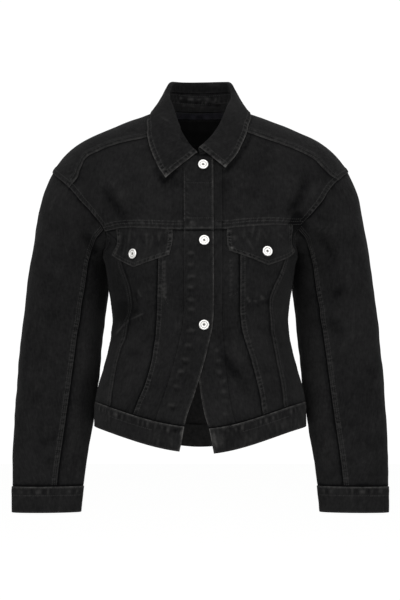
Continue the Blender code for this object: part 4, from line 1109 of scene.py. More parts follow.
@dataclass(frozen=True)
class Edging:
    """How one border of a piece is sewn or turned."""

    lap: float = 0
    width: float = 9
    roll: float = 0
    tongue: float = 0
    dip: float = 0
    rows: tuple[float, ...] = ()
    pucker: float = 0
    pitch: float = 5
    pucker_at: Pair = (4.5, 3)
    wear_and_shading: float = 0
    tone_reach: float = 0.9
    shade: float = 2
    row_wear: float = 0.16
    row_depth: float = 0.28
    span: Pair = (-1, 2)
    seed: int = 1

    def mask(self, share: Array) -> Array:
        """How far the edging holds at shares along its border."""
        low, high = self.span
        return ease(share, low - 0.02, low + 0.02) * (1 - ease(share, high - 0.02, high + 0.02))

    def lapped(self, off: Array) -> Array:
        """Height of the lapped cloth at a distance from the border."""
        return self.lap * ease(off, -0.2, 1.1) * (1 - ease(off, self.width, self.width + 3))

    def crests(self, off: Array, along: Array) -> Array:
        """The puckers that the stitching draws up, from about -1 to 1."""
        s = along / self.pitch
        beat = np.cos(2 * math.pi * (s + 0.34 * np.sin(s * 0.83 + self.seed) + 0.22 * np.sin(s * 2.1)))
        swing = 0.6 + 0.25 * np.sin(along / 19 + 1.7 * self.seed) + 0.35 * np.sin(along / 8.3 + self.seed)
        return beat * swing * bell(off, *self.pucker_at)

    def pressed(self, off: Array, along: Array) -> Array:
        """Everything on the border's height but the lap."""
        height = -self.roll * (1 - np.clip(off / 0.9, 0, 1)) ** 2
        height = height - self.dip * ease(-off, -0.5, 0.8)
        for row in self.rows:
            height = height - self.row_depth * bell(off, row, 0.7)
        if self.pucker:
            height = height + self.pucker * self.crests(off, along)
        return height

    def wear_and_shading_tone(self, off: Array, along: Array) -> Array:
        """The cloth's tone, above 0 pale and below 0 dark: rubbed pale along the edge, with painted shade for a
        negative edge value, painted shade where the edge dips, and painted highlight and shade on the puckers.
        """
        inside = off > -0.05
        fade = 0.7 + 0.3 * np.sin(along / 7 + self.seed) * np.sin(along / 17)
        fade = fade + 0.35 * np.sin(along / 1.9 + 2 * self.seed) * np.sin(along / 4.3)
        # Rubbed pale along the edge; a negative value paints shade there instead.
        tone = np.where(inside, self.wear_and_shading * fade * np.exp(-np.clip(off, 0, None) / self.tone_reach), 0)
        # Puckers: rubbed pale and painted highlight on their crests, painted shade between them.
        if self.pucker:
            tone = tone + 0.5 * self.pucker * self.crests(off, along)
        # Painted shade along an edge that dips under its neighbour.
        if self.dip:
            tone = tone - 0.85 * self.dip * np.exp(-np.abs(off) / self.shade)
        for number, row in enumerate(self.rows):
            flecks = np.sin(along * 1.21 + number) * np.sin(along * 0.37 + self.seed)
            tone = tone + self.row_wear * bell(off, row, 1) * (0.5 + 0.8 * flecks)
        return tone


TONGUE = 2.5
OVER = Edging(lap=0.9, roll=0.8, rows=(1.7, 7.6), pucker=0.45, wear_and_shading=0.35)
UNDER = Edging(tongue=TONGUE, dip=1.35)
FLUSH = Edging(tongue=TONGUE, dip=0.45, shade=1.2)
SHADE = Edging(wear_and_shading=-0.7, tone_reach=2.2)


def borders(**edgings: Edging | tuple[Edging, ...]) -> dict[Border, tuple[Edging, ...]]:
    """A piece's edgings, from one or several for each of start, end, bottom and top."""
    return {Border[name.upper()]: own if isinstance(own, tuple) else (own,) for name, own in edgings.items()}


TONGUE_PARTS = (0.36, 1)
BAND = (0, 0.35, 0.8, 1.3, 1.9, 2.7, 3.6, 4.5, 5.5, 6.5, 7.3, 8, 9, 10.2, 12, 14.5)


def stations(length: float, step: float, at_start: bool, at_end: bool) -> Array:
    """Places of a piece's grid lines: close together along its seams.

    Args:
        length: the piece's size that way.
        step: the usual distance between lines.
        at_start: whether the first border needs close lines.
        at_end: whether the last border needs them.

    Returns:
        An odd number of shares from 0 to 1.
    """
    head = [x for x in BAND if x < 0.48 * length] if at_start and step > 1.6 else [0]
    tail = [length - x for x in BAND if x < 0.48 * length] if at_end and step > 1.6 else [length]
    count = max(1, round((tail[-1] - head[-1]) / step))
    count += (len(head) + len(tail) + count) % 2
    middle = np.linspace(head[-1], tail[-1], count + 1)[1:-1]
    return np.concatenate([head, middle, tail[::-1]]) / length


def beyond(shares: Array, low: int, high: int, reach: float) -> Array:
    """Shares of the grid lines, with those of the tongues at either end."""
    parts = reach * np.array(TONGUE_PARTS)
    return np.concatenate([-parts[::-1][:low], shares, 1 + parts[:high]])


def arc(points: Array, axis: int, first: int) -> Array:
    """Length along the grid lines of an axis, 0 at line number first."""
    steps = np.linalg.norm(np.diff(points, axis=axis), axis=-1)
    passed = np.concatenate([np.zeros_like(np.take(steps, [0], axis)), np.cumsum(steps, axis)], axis)
    return passed - np.take(passed, [first], axis)


@dataclass
class Cloth:
    """A cut piece of cloth: a fine grid over its surface, its seams pressed in, and a back to it."""

    name: str
    surface: Surface
    across: float
    up: float
    turn: float
    edges: dict[Border, tuple[Edging, ...]] = field(default_factory=dict)
    thickness: float = 1
    steps: Pair = (3.6, 1.5)
    folds: Folds = ()
    uneven: float = 0.35
    crumple: float = 0.03
    raised: float = 0
    # The back face's single tone: painted shade below 0, painted light above 0.
    lining: float = -0.15
    # Tone marks: rubbed pale spots, painted shade and painted highlight.
    marks: Folds = ()
    finish: str = "denim"
    sewn_to: tuple[str, ...] = ("back_yoke",)
    tucks: dict[Border, Callable[[Array, float], Array]] = field(default_factory=dict)

    def edging(self, border: Border) -> tuple[Edging, ...]:
        """The border's edgings."""
        return self.edges.get(border, ())

    def tongued(self, points: Array, axis: int, first: Border, last: Border, shares: Array) -> tuple[Array, int, int]:
        """Adds the hidden tongues that run under a neighbour past two borders.

        Args:
            points: the grid.
            axis: the axis that the borders end.
            first: the border at its start.
            last: the border at its end.
            shares: shares along these borders.

        Returns:
            The grown grid, and the numbers of lines added at each end.
        """
        moved = np.moveaxis(points, axis, 0)
        counts = []
        grown = [moved]
        for border, edge, next_in in ((first, 0, 1), (last, -1, -2)):
            tongues = [e for e in self.edging(border) if e.tongue]
            counts.append(2 if tongues else 0)
            if not tongues:
                continue
            reach = sum(e.tongue * e.mask(shares) for e in tongues)[:, None] + 0.04
            way = unit(moved[edge] - moved[next_in])
            tuck = self.tucks.get(border)
            lines = [tuck(shares, part) if tuck else moved[edge] + way * reach * part for part in TONGUE_PARTS]
            if edge == 0:
                grown.insert(0, np.stack(lines[::-1]))
            else:
                grown.append(np.stack(lines))
        return np.moveaxis(np.concatenate(grown), 0, axis), counts[0], counts[1]

    def make(self, wardrobe: Wardrobe, sewing: Sewing | None = None) -> bpy.types.Object:
        """Args:
            wardrobe: the finishes.
            sewing: where its stitches are collected.

        Returns:
            The piece.
        """
        edging = self.edging
        a = stations(self.across, self.steps[0], bool(edging(Border.START)), bool(edging(Border.END)))
        u = stations(self.up, self.steps[1], bool(edging(Border.BOTTOM)), bool(edging(Border.TOP)))
        grid_a, grid_u = np.meshgrid(a, u, indexing="ij")
        points = self.surface(grid_a, grid_u)
        points, a_low, a_high = self.tongued(points, 0, Border.START, Border.END, u)
        padded_a = beyond(a, a_low, a_high, TONGUE / self.across)
        points, u_low, u_high = self.tongued(points, 1, Border.BOTTOM, Border.TOP, padded_a)
        padded_u = beyond(u, u_low, u_high, TONGUE / self.up)
        n, m = points.shape[:2]
        arc_a, arc_u = arc(points, 0, a_low), arc(points, 1, u_low)
        last_a, last_u = n - 1 - a_high, m - 1 - u_high
        off = dict(zip(Border, (arc_a, arc_a[last_a] - arc_a, arc_u, arc_u[:, [last_u]] - arc_u)))
        along = dict(zip(Border, (arc_u[[a_low]], arc_u[[last_a]], arc_a[:, [u_low]], arc_a[:, [last_u]])))
        share = dict(zip(Border, 2 * (padded_u[None, :],) + 2 * (padded_a[:, None],)))
        normal = unit(np.cross(np.gradient(points, axis=0), np.gradient(points, axis=1))) * self.turn
        low = self.raised + self.uneven * (drift(points, 55, 3) + 0.35 * drift(points, 21, 5))
        facing = ease(-normal[..., 1], 0.1, 0.45)
        folds = raised_by(self.folds, points)
        low = low + folds * facing
        lap, pressed, sunk = np.zeros((3, n, m))
        # Painted shade in the folds' troughs and painted highlight on their crests, on faces turned to the front.
        wear_and_shading = (TROUGH_SHADE * np.minimum(folds, 0) + CREST_HIGHLIGHT * np.maximum(folds, 0)) * facing
        # Tone marks, painted shade and highlight among them, on faces turned to the front.
        wear_and_shading = wear_and_shading + raised_by(self.marks, points) * ease(-normal[..., 1], -0.3, 0.05)
        streaks = drift(points * (1, 1, 0.45), 10, 11) * (0.6 + 0.8 * drift(points, 60, 13))
        wear_and_shading = wear_and_shading + self.crumple * streaks
        for border in Border:
            for edge in edging(border):
                mask = edge.mask(share[border])
                lap = np.maximum(lap, mask * edge.lapped(off[border]))
                pressed = pressed + mask * edge.pressed(off[border], along[border])
                sunk = sunk - mask * edge.dip * ease(-off[border], -0.5, 0.8)
                wear_and_shading = wear_and_shading + mask * edge.wear_and_shading_tone(off[border], along[border])
        outer = points + normal * (low + lap + pressed)[..., None]
        inner = (points + normal * (low + sunk - self.thickness)[..., None])[::2, ::2]
        mesh = self.mesh_of(outer, inner, np.stack([arc_a, arc_u], -1), wear_and_shading)
        made = link(self.name + "_cloth", mesh, wardrobe.finish(self.finish), self.finish)
        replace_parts(made, self.name)
        real = slice(a_low, n - a_high), slice(u_low, m - u_high)
        self.declare(points[real], arc_a[real], arc_u[real])
        if sewing:
            for border in Border:
                for edge in edging(border):
                    for row in edge.rows:
                        self.sew(sewing, border, edge, row, outer, normal, off, share)
        log.info("%s: %d faces", made.name, len(mesh.polygons))
        return made

    def mesh_of(self, outer: Array, inner: Array, arcs: Array, wear_and_shading: Array) -> bpy.types.Mesh:
        """A closed mesh from the face's grid and the back's, which has every second line.

        Args:
            outer: the face's points.
            inner: the back's points.
            arcs: lengths across and up, for the weave.
            wear_and_shading: the face's tone, from rubbing, painted shade and painted highlight.

        Returns:
            The mesh, in metres.
        """
        n, m = outer.shape[:2]
        p, q = inner.shape[:2]
        face = np.arange(n * m).reshape(n, m)
        back = n * m + np.arange(p * q).reshape(p, q)
        quads, backs = (np.stack([grid[:-1, :-1], grid[1:, :-1], grid[1:, 1:], grid[:-1, 1:]], -1).reshape(-1, 4)
                        for grid in (face, back))
        backs = backs[:, [0, 3, 2, 1]]
        rims = []
        for far, near, flip in (
            (face[:, 0], back[:, 0], True), (face[:, -1], back[:, -1], False),
            (face[0], back[0], False), (face[-1], back[-1], True),
        ):
            rim = np.stack([far[:-2:2], far[1:-1:2], far[2::2], near[1:], near[:-1]], -1)
            rims.append(rim[:, ::-1] if flip else rim)
        if self.turn < 0:
            quads, backs, rims = quads[:, ::-1], backs[:, ::-1], [rim[:, ::-1] for rim in rims]
        polygons = quads.tolist() + backs.tolist() + [row for rim in rims for row in rim[:, ::-1].tolist()]
        mesh = bpy.data.meshes.new(self.name)
        mesh.from_pydata(np.concatenate([outer.reshape(-1, 3), inner.reshape(-1, 3)]) * MM, [], polygons)
        mesh.polygons.foreach_set("use_smooth", np.ones(len(mesh.polygons), bool))
        spread = np.concatenate([arcs.reshape(-1, 2), arcs[::2, ::2].reshape(-1, 2)])
        corners = np.zeros(len(mesh.loops), np.int32)
        mesh.loops.foreach_get("vertex_index", corners)
        layer = mesh.uv_layers.new(name="cloth")
        layer.data.foreach_set("uv", (spread[corners] * MM).astype(np.float32).reshape(-1))
        # The back faces take one painted tone, darker for shade and lighter for light.
        tone = np.concatenate([wear_and_shading.reshape(-1), np.full(p * q, self.lining)]).astype(np.float32)
        mesh.attributes.new("wear_and_shading", "FLOAT", "POINT").data.foreach_set("value", tone)
        return mesh

    def declare(self, points: Array, arc_a: Array, arc_u: Array) -> None:
        width = float(arc_a[-1].max()) * MM
        length = float(arc_u[:, -1].max()) * MM
        run = np.diff(points, axis=0)[:, :-1]
        rise = np.diff(points, axis=1)[:-1]
        area = float(np.linalg.norm(np.cross(run, rise), axis=-1).sum()) * MM**2
        area = min(max(area, 0.31 * width * length), width * length)
        list(self.sewn_to)

    def stop(self, border: Border, row: float) -> float:
        """How near a crossing row may come to a border: as far as that border's own matching row."""
        rows = [r for edge in self.edging(border) for r in edge.rows if r <= row + 0.6]
        return max(rows, default=0.3)

    def sew(self, sewing: Sewing, border: Border, edge: Edging, row: float, outer: Array,
            normal: Array, off: dict[Border, Array], share: dict[Border, Array]) -> None:
        """Sews one row along a border.

        Args:
            sewing: where the stitches go.
            border: the border.
            edge: its edging.
            row: the row's distance from the border.
            outer: the face's points.
            normal: its normals.
            off: distances from each border.
            share: shares along each border.
        """
        by_line = border in (Border.START, Border.END)
        from_end = border in (Border.END, Border.TOP)

        def turned(table: Array) -> Array:
            """A table with the border's own line as its first row."""
            table = table if by_line else table.swapaxes(0, 1)
            return table[::-1] if from_end else table

        distance, faces, ways = turned(off[border]), turned(outer), turned(normal)
        others = (Border.BOTTOM, Border.TOP) if by_line else (Border.START, Border.END)
        sides = [(turned(off[other]), self.stop(other, row) - 0.15) for other in others]
        lengths = share[border].reshape(-1)
        path, ups = [], []
        for k in range(distance.shape[1]):
            if not edge.span[0] <= lengths[k] <= edge.span[1]:
                continue
            column = distance[:, k]
            high = int(np.searchsorted(column, row))
            if high <= 0 or high >= len(column):
                continue
            t = (row - column[high - 1]) / max(column[high] - column[high - 1], 1e-9)

            def read(table: Array) -> Array:
                """A table's value where the row crosses this grid line."""
                return (1 - t) * table[high - 1, k] + t * table[high, k]

            if all(read(table) >= least for table, least in sides):
                path.append(read(faces))
                ups.append(read(ways))
        if len(path) > 3:
            sewing.run(np.array(path), np.array(ups))


# Sub-assemblies.


@dataclass
class Front:
    """One front: yoke, three lower panels, button strip, waistband, flap and pocket bag."""

    side: Side
    pattern: Pattern
    flap_top: tuple[Pair, Pair]
    flap_tip: Pair
    flap_low: tuple[Pair, Pair]
    bag: Triple
    creases: Folds
    strip_creases: Folds
    marks: Folds
    corner: Folds
    flap_creases: Folds
    flap_marks: Folds
    lines: tuple[tuple[float, tuple[Pair, ...]], ...]
    strip_edges: tuple[Edging, ...]
    bag_from_side: float = 0.05
    flap_out: float = 3

    def lift(self, angle: Array) -> Array:
        """How far this front lies out from the body."""
        return self.pattern.lift(self.side, angle)

    def band_top(self, angle: Array) -> Array:
        """Height of this front's waistband at its upper edge."""
        return self.pattern.band_top(self.side, angle)

    def above_band(self, angle: Array) -> Array:
        """Height of the edge that meets the waistband."""
        return self.band_top(angle) + BAND_GAP

    def chest(self, angle: Array) -> Array:
        """Height of this front's chest seam."""
        return self.pattern.chest_height(self.side, angle)

    def cloth(self, name: str, patch: Surface, across: float, up: float, edges: dict, **more: object) -> Cloth:
        """A piece over a patch of the body, which lies out as this front does."""
        out = more.pop("out", self.lift)
        turn = more.pop("turn", self.side.value)
        full_name = f"{self.side.word}_{name}"
        more.setdefault("folds", self.creases)
        more.setdefault("marks", self.marks)
        return Cloth(full_name, self.pattern.laid(patch, out), across, up, turn, edges, **more)

    def yoke(self) -> Cloth:
        """The panel over the chest, from the neck and the shoulder seam down to the chest seam."""
        pattern, side = self.pattern, self.side
        inner = pattern.placket_line(side)
        foot, top = pattern.chest_crossing(inner, side), pattern.neck_crossing(inner, side)
        chest_at = pattern.own(pattern.chest_seam_at, side)
        seam = pattern.shoulder_seam(side)
        neck_share = 4 / 12
        start_angle = float(inner(top))
        corner_angle = side.value * pattern.shoulder_seam_neck

        def upper(share: Array) -> Array:
            """The upper edge: the neck seam, then the shoulder seam."""
            angle = start_angle + (corner_angle - start_angle) * np.clip(share / neck_share, 0, 1)
            past = np.clip((share - neck_share) / (1 - neck_share), 0, 1)
            on_neck = pair(angle, pattern.own_neck_height(side, angle))
            return np.where((share <= neck_share)[..., None], on_neck, seam(past))

        lower = sweep(inner(foot), float(pattern.armhole(side, chest_at)[0]), self.chest)
        end = pattern.along_armhole(side, chest_at, pattern.own(pattern.shoulder_seam_at, side))
        patch = coons(lower, upper, down_line(inner, top, foot), end)
        edges = borders(
            start=FLUSH,
            end=Edging(lap=1.1, roll=0.8, width=10, rows=(1.8, 8.8), pucker=0.42, pitch=6.4, wear_and_shading=0.5, seed=4),
            bottom=Edging(lap=1.1, roll=0.8, width=13.5, rows=(1.8, 7.8, 12.6), pucker=0.3, pitch=8,
                          pucker_at=(9, 4), wear_and_shading=0.5, row_wear=0.24, seed=2),
            top=(UNDER, SHADE),
        )
        return self.cloth("front_yoke", patch, 150, 95, edges, steps=(2.2, 1.7))

    def between(self, lines: tuple[Line, Line], crossing: Callable[[Line, Side], float], top_of: Line) -> Surface:
        """A patch between two seams, from an upper line down to the waistband.

        Args:
            lines: the seams.
            crossing: gives the height where a seam meets the upper line.
            top_of: the upper line's height, by angle.

        Returns:
            The patch.
        """
        tops = [crossing(line, self.side) for line in lines]
        feet = [self.pattern.foot_of(line, self.band_top) for line in lines]
        upper = sweep(*(float(line(top)) for line, top in zip(lines, tops)), top_of)
        lower = sweep(*(float(line(foot)) for line, foot in zip(lines, feet)), self.above_band)
        return coons(lower, upper, *(down_line(*seam) for seam in zip(lines, tops, feet)))

    def lower_panels(self) -> list[Cloth]:
        """The three panels under the chest seam."""
        pattern, side = self.pattern, self.side
        inner, outer = pattern.inner_line(side), pattern.outer_line(side)
        ladder = Edging(lap=0.8, roll=0.8, rows=(1.7, 7.4), pucker=0.42, pitch=6.2, wear_and_shading=0.3, seed=7, span=(-1, 0.95))
        over, under = (ladder, UNDER) if side is Side.RIGHT else (UNDER, ladder)
        panels = []
        for name, seams, across, start, end in (
            ("centre", (pattern.placket_line(side), inner), 38, FLUSH, over),
            ("middle", (inner, outer), 62, under, UNDER),
        ):
            patch = self.between(seams, pattern.chest_crossing, self.chest)
            edges = borders(start=start, end=end, bottom=UNDER, top=UNDER)
            panels.append(self.cloth(f"front_{name}", patch, across, 295, edges))
        return [*panels, self.side_panel(outer)]

    def side_panel(self, outer: Line) -> Cloth:
        """The panel under the arm, from the outer seam to the side seam."""
        pattern, side = self.pattern, self.side
        chest_at = pattern.own(pattern.chest_seam_at, side)
        end_height, under_arm = (float(pattern.armhole(side, at)[1]) for at in (chest_at, 180))
        foot = pattern.foot_of(outer, self.band_top)
        at_side = side.value * 90
        start = down_line(outer, end_height, foot)
        end = down_line(lambda height: at_side + 0 * height, under_arm, float(self.band_top(at_side)))
        lower = sweep(float(outer(foot)), at_side, self.above_band)
        patch = coons(lower, pattern.along_armhole(side, chest_at, 180), start, end)
        seam = Edging(lap=0.8, roll=0.8, width=8, rows=(1.7, 6.8), pucker=0.3, pitch=6.6, wear_and_shading=0.16, span=(-1, 0.9))
        edges = borders(start=seam, end=OVER, top=OVER, bottom=UNDER)
        return self.cloth("front_side", patch, 85, 265, edges, out=None)

    def placket(self) -> Cloth:
        """The double strip down the front edge, from the neck seam to the waistband."""
        pattern, side = self.pattern, self.side
        lines = (lambda height: pattern.edge_angle(side, height), pattern.placket_line(side))
        patch = self.between(lines, pattern.neck_crossing, lambda angle: pattern.own_neck_height(side, angle))
        edges = borders(start=Edging(roll=0.8, rows=(2.4,), wear_and_shading=0.9, row_wear=0.05, seed=5), end=self.strip_edges,
                        bottom=UNDER, top=UNDER)
        return self.cloth("placket", patch, 45, 430, edges,
                          thickness=1.2, out=lambda angle: self.lift(angle) + STRIP_OUT,
                          folds=self.creases + self.strip_creases, steps=(2.2, 1.5))

    def waistband(self) -> Cloth:
        """The front band, from the side seam to the front edge."""
        pattern, side = self.pattern, self.side

        def patch(across: Array, up: Array) -> Array:
            """The band's angle and height."""
            edge = pattern.edge_angle(side, pattern.own_hem_height(side, 0) + pattern.band_height * up)
            angle = side.value * 90 + (edge - side.value * 90) * across
            return pair(angle, pattern.own_hem_height(side, angle) + pattern.band_height * up)

        edges = borders(
            top=(Edging(roll=0.9, rows=(2.2,), pucker=0.6, pitch=12.5, pucker_at=(7.6, 3.6), wear_and_shading=1.2, row_wear=0.08,
                        seed=3 + int(side.value)),
                 Edging(rows=(14,), row_wear=0.08, span=(0.45, 0.8))),
            bottom=Edging(roll=0.9, rows=(2.2,), wear_and_shading=0.25, row_wear=0.06, seed=8),
            end=Edging(roll=0.9, rows=(2.2,), wear_and_shading=1.3, seed=9),
        )
        return self.cloth("waistband", patch, 190, pattern.band_height, edges, thickness=BAND_THICK,
                          marks=self.corner, crumple=0.09, turn=-side.value,
                          out=lambda angle: self.lift(angle) + BAND_OUT, steps=(1.6, 1.7))

    def flap(self) -> Cloth:
        """The pointed pocket flap."""
        angle_at = self.pattern.torso.angle_at
        tip, (low_in, low_out) = self.flap_tip, self.flap_low
        top_in, top_out = ((x, float(self.chest(angle_at(x, z))) - FLAP_GAP) for x, z in self.flap_top)
        tip_share = abs(tip[0] - low_in[0]) / abs(low_out[0] - low_in[0]) * 0.9

        def straight(first: Pair, last: Pair) -> Line:
            """A straight edge between two spots, each given by its place across and its height."""
            ends = [pair(angle_at(x, height), height) for x, height in (first, last)]
            return lambda share: ends[0] * (1 - share[..., None]) + ends[1] * share[..., None]

        toward, away = straight(low_in, tip), straight(tip, low_out)

        def lower(share: Array) -> Array:
            """The pointed lower edge."""
            past = np.clip((share - tip_share) / (1 - tip_share), 0, 1)
            return np.where((share <= tip_share)[..., None],
                            toward(np.clip(share / tip_share, 0, 1)), away(past))

        def upper(share: Array) -> Array:
            """The edge just under the chest seam."""
            angle = straight(top_in, top_out)(share)[..., 0]
            return pair(angle, self.chest(angle) - FLAP_GAP)

        patch = coons(lower, upper, straight(low_in, top_in), straight(low_out, top_out))

        def surface(across: Array, up: Array) -> Array:
            """The flap's face, which lies out from the cloth below its seam."""
            spot = patch(across, up)
            out = self.lift(spot[..., 0]) + self.flap_out - (self.flap_out - 0.2) * ease(up, 0.78, 1)
            return self.pattern.torso.at(spot[..., 0], spot[..., 1], out)

        edge = Edging(roll=0.8, rows=(1.7, 6.4), pucker=0.45, pitch=6.4, pucker_at=(4, 2.6), wear_and_shading=0.5, seed=11)
        return Cloth(f"{self.side.word}_flap", surface, 100, 52, self.side.value,
                     borders(start=edge, end=edge, bottom=edge), 1.5, (1.7, 1.5), self.flap_creases,
                     marks=self.flap_marks, crumple=0.09)

    def pocket_bag(self) -> Cloth:
        """The pocket bag, hanging inside the front from under the flap."""
        inner_x, top, bottom = self.bag
        outer = self.pattern.outer_line(self.side)

        def patch(across: Array, up: Array) -> Array:
            """The bag's angle and height."""
            height = bottom + (top - bottom) * up
            inner_angle = self.pattern.torso.angle_at(inner_x, height)
            reach = across * (1 - self.bag_from_side)
            return pair(inner_angle + (outer(height) - inner_angle) * reach, height)

        return self.cloth("pocket_bag", patch, 75, 100, {}, thickness=0.8, steps=(3, 3), folds=(),
                          out=lambda angle: self.lift(angle) - 2.4, finish="pocket_cloth")

    def sew_lines(self, sewing: Sewing) -> None:
        """Sews the rows that hold the pocket bag, seen on the face."""
        for out, line in self.lines:
            points = np.array(line)
            lengths = np.concatenate([[0], np.cumsum(np.hypot(*np.diff(points, axis=0).T))])
            at = np.linspace(0, lengths[-1], 80)
            x, z = (np.interp(at, lengths, points[:, k]) for k in (0, 1))
            angle = self.pattern.torso.angle_at(x, z)
            path = self.pattern.torso.at(angle, z, self.lift(angle) + out)
            sewing.run(path, self.pattern.torso.normal(angle, z))

    def build(self, wardrobe: Wardrobe) -> None:
        """Makes the front's pieces and their stitches."""
        sewing = Sewing(f"{self.side.word}_front_stitches")
        for cloth in (self.yoke(), *self.lower_panels(), self.placket(), self.waistband(), self.flap()):
            cloth.make(wardrobe, sewing)
        self.pocket_bag().make(wardrobe)
        self.sew_lines(sewing)
        sewing.make(wardrobe)


@dataclass
class Back:
    """The back: yoke, three panels and the waistband's long piece."""

    pattern: Pattern

    def cloth(self, name: str, patch: Surface, across: float, up: float, edges: dict, **more: object) -> Cloth:
        """A piece over a patch of the body."""
        out = more.pop("out", None)
        turn = more.pop("turn", 1)
        return Cloth(name, self.pattern.laid(patch, out), across, up, turn, edges, **more)

    def band_top(self, angle: Array) -> Array:
        """Height of the waistband's upper edge."""
        return self.pattern.hem_height(angle) + self.pattern.band_height

    def above_band(self, angle: Array) -> Array:
        """Height of the edge that meets the waistband."""
        return self.band_top(angle) + BAND_GAP

    def centre(self) -> Cloth:
        """The tapered panel down the middle of the back."""
        pattern = self.pattern
        line = pattern.back_line(Side.LEFT)
        foot = pattern.foot_of(line, self.band_top)
        top = pattern.back_yoke_height
        top_angle, foot_angle = float(line(top)), float(line(foot))

        def lower(share: Array) -> Array:
            """The edge that meets the waistband."""
            angle = foot_angle + (360 - 2 * foot_angle) * share
            return pair(angle, self.above_band(angle))

        def upper(share: Array) -> Array:
            """The level edge under the yoke."""
            return pair(top_angle + (360 - 2 * top_angle) * share, top)

        start = down_line(line, top, foot)
        end = down_line(lambda height: 360 - line(height), top, foot)
        edges = {border: (UNDER,) for border in Border}
        # Its back face takes a lighter painted tone.
        return self.cloth("back_centre", coons(lower, upper, start, end), 130, 345, edges, lining=0.09)

    def side_panel(self, side: Side) -> Cloth:
        """The back panel beside the centre one, from the armhole to the waistband."""
        pattern = self.pattern
        line = pattern.back_line(side)
        top = pattern.back_yoke_height
        foot = pattern.foot_of(line, self.band_top)
        top_angle = float(line(top))
        arm_angle, arm_height = pattern.armhole(side, pattern.back_yoke_at)
        under_arm = float(pattern.armhole(side, 180)[1])
        at_side = side.value * 90
        level_share = 3 / 9

        def upper(share: Array) -> Array:
            """The upper edge: the armhole, then the yoke seam."""
            on_arm = np.clip(share / (1 - level_share), 0, 1)
            past = np.clip((share - 1 + level_share) / level_share, 0, 1)
            curve = pair(*pattern.armhole(side, -180 + (pattern.back_yoke_at + 180) * on_arm))
            level = pair(arm_angle + (top_angle - arm_angle) * past, arm_height + (top - arm_height) * past)
            return np.where((share <= 1 - level_share)[..., None], curve, level)

        lower = sweep(at_side, float(line(foot)), self.above_band)
        start = down_line(lambda height: at_side + 0 * height, under_arm, float(self.band_top(at_side)))
        patch = coons(lower, upper, start, down_line(line, top, foot))
        arm = Edging(lap=0.9, roll=0.8, width=10, rows=(1.8, 8.8), pucker=0.3, wear_and_shading=0.4, span=(-1, 0.66))
        yoke = Edging(tongue=TONGUE, dip=1.35, span=(0.68, 2))
        edges = borders(start=UNDER, end=OVER, bottom=UNDER, top=(arm, yoke))
        return self.cloth(f"{side.word}_back_side", patch, 110, 300, edges, turn=side.value)

    def yoke(self) -> Cloth:
        """The panel over both shoulders, which comes forward to the shoulder seams."""
        pattern = self.pattern
        first, second = 12 / 38, 26 / 38
        seams = {side: pattern.shoulder_seam(side) for side in Side}
        arm_angle, arm_height = pattern.armhole(Side.LEFT, pattern.back_yoke_at)
        neck = pattern.shoulder_seam_neck
        around = (
            (0, neck), (0.5 * first, 62), (first, 118), (0.5, 180),
            (second, 242), (0.5 * (1 + second), 298), (1, 360 - neck),
        )

        def upper(share: Array) -> Array:
            """The neck edge."""
            angle = smooth(around, 1, share)
            return pair(angle, pattern.neck_height(angle))

        def arm_part(side: Side, share: Array) -> Array:
            """The yoke's edge along one armhole."""
            seam_at = pattern.own(pattern.shoulder_seam_at, side)
            angle, height = pattern.armhole(side, seam_at + (pattern.back_yoke_at - seam_at) * share)
            return pair(angle if side is Side.LEFT else 360 + angle, height)

        def lower(share: Array) -> Array:
            """The lower edge: one armhole, the level seam, the other armhole."""
            left = arm_part(Side.LEFT, np.clip(share / first, 0, 1))
            right = arm_part(Side.RIGHT, np.clip((1 - share) / (1 - second), 0, 1))
            past = (share - first) / (second - first)
            bow = 1 - (2 * past - 1) ** 2
            level = pair(arm_angle + (360 - 2 * arm_angle) * past,
                         arm_height + (pattern.back_yoke_height - arm_height) * np.minimum(4 * bow, 1))
            middle = np.where((share >= second)[..., None], right, level)
            return np.where((share <= first)[..., None], left, middle)

        def start(share: Array) -> Array:
            """The left shoulder seam."""
            return seams[Side.LEFT](1 - share)

        def end(share: Array) -> Array:
            """The right shoulder seam."""
            return seams[Side.RIGHT](1 - share) + (360, 0)

        shoulder = Edging(lap=1.3, roll=0.8, rows=(1.7, 7.2), pucker=0.4, pitch=6.4, wear_and_shading=0.5, seed=13)
        level = Edging(lap=0.9, roll=0.8, width=10, rows=(1.8, 8.4), pucker=0.35, wear_and_shading=0.4, seed=14)
        edges = borders(start=shoulder, end=shoulder, top=UNDER, bottom=level)
        return self.cloth("back_yoke", coons(lower, upper, start, end), 560, 150, edges, marks=SHOULDER_MARKS,
                          steps=(1.7, 2.4), sewn_to=("right_front_yoke", "left_front_yoke"))

    def waistband(self) -> Cloth:
        """The band across the back."""

        def patch(across: Array, up: Array) -> Array:
            """The band's angle and height."""
            angle = 90 + 180 * across
            return pair(angle, self.pattern.hem_height(angle) + self.pattern.band_height * up)

        edges = borders(
            top=Edging(roll=0.9, rows=(1.8, 14), pucker=0.6, pitch=13, pucker_at=(8, 5), wear_and_shading=0.7, seed=6),
            bottom=Edging(roll=0.9, rows=(2,), wear_and_shading=0.45, seed=8),
        )
        # Its back face takes a lighter painted tone.
        return self.cloth("back_waistband", patch, 420, self.pattern.band_height, edges, thickness=BAND_THICK,
                          lining=0.09, out=lambda angle: BAND_OUT + 0 * angle, steps=(1.6, 1.7))

    def build(self, wardrobe: Wardrobe) -> None:
        """Makes the back's pieces and their stitches."""
        sewing = Sewing("back_stitches")
        pieces = [self.yoke(), self.centre(), self.waistband()]
        for cloth in pieces + [self.side_panel(side) for side in Side]:
            cloth.make(wardrobe, sewing)
        sewing.make(wardrobe)


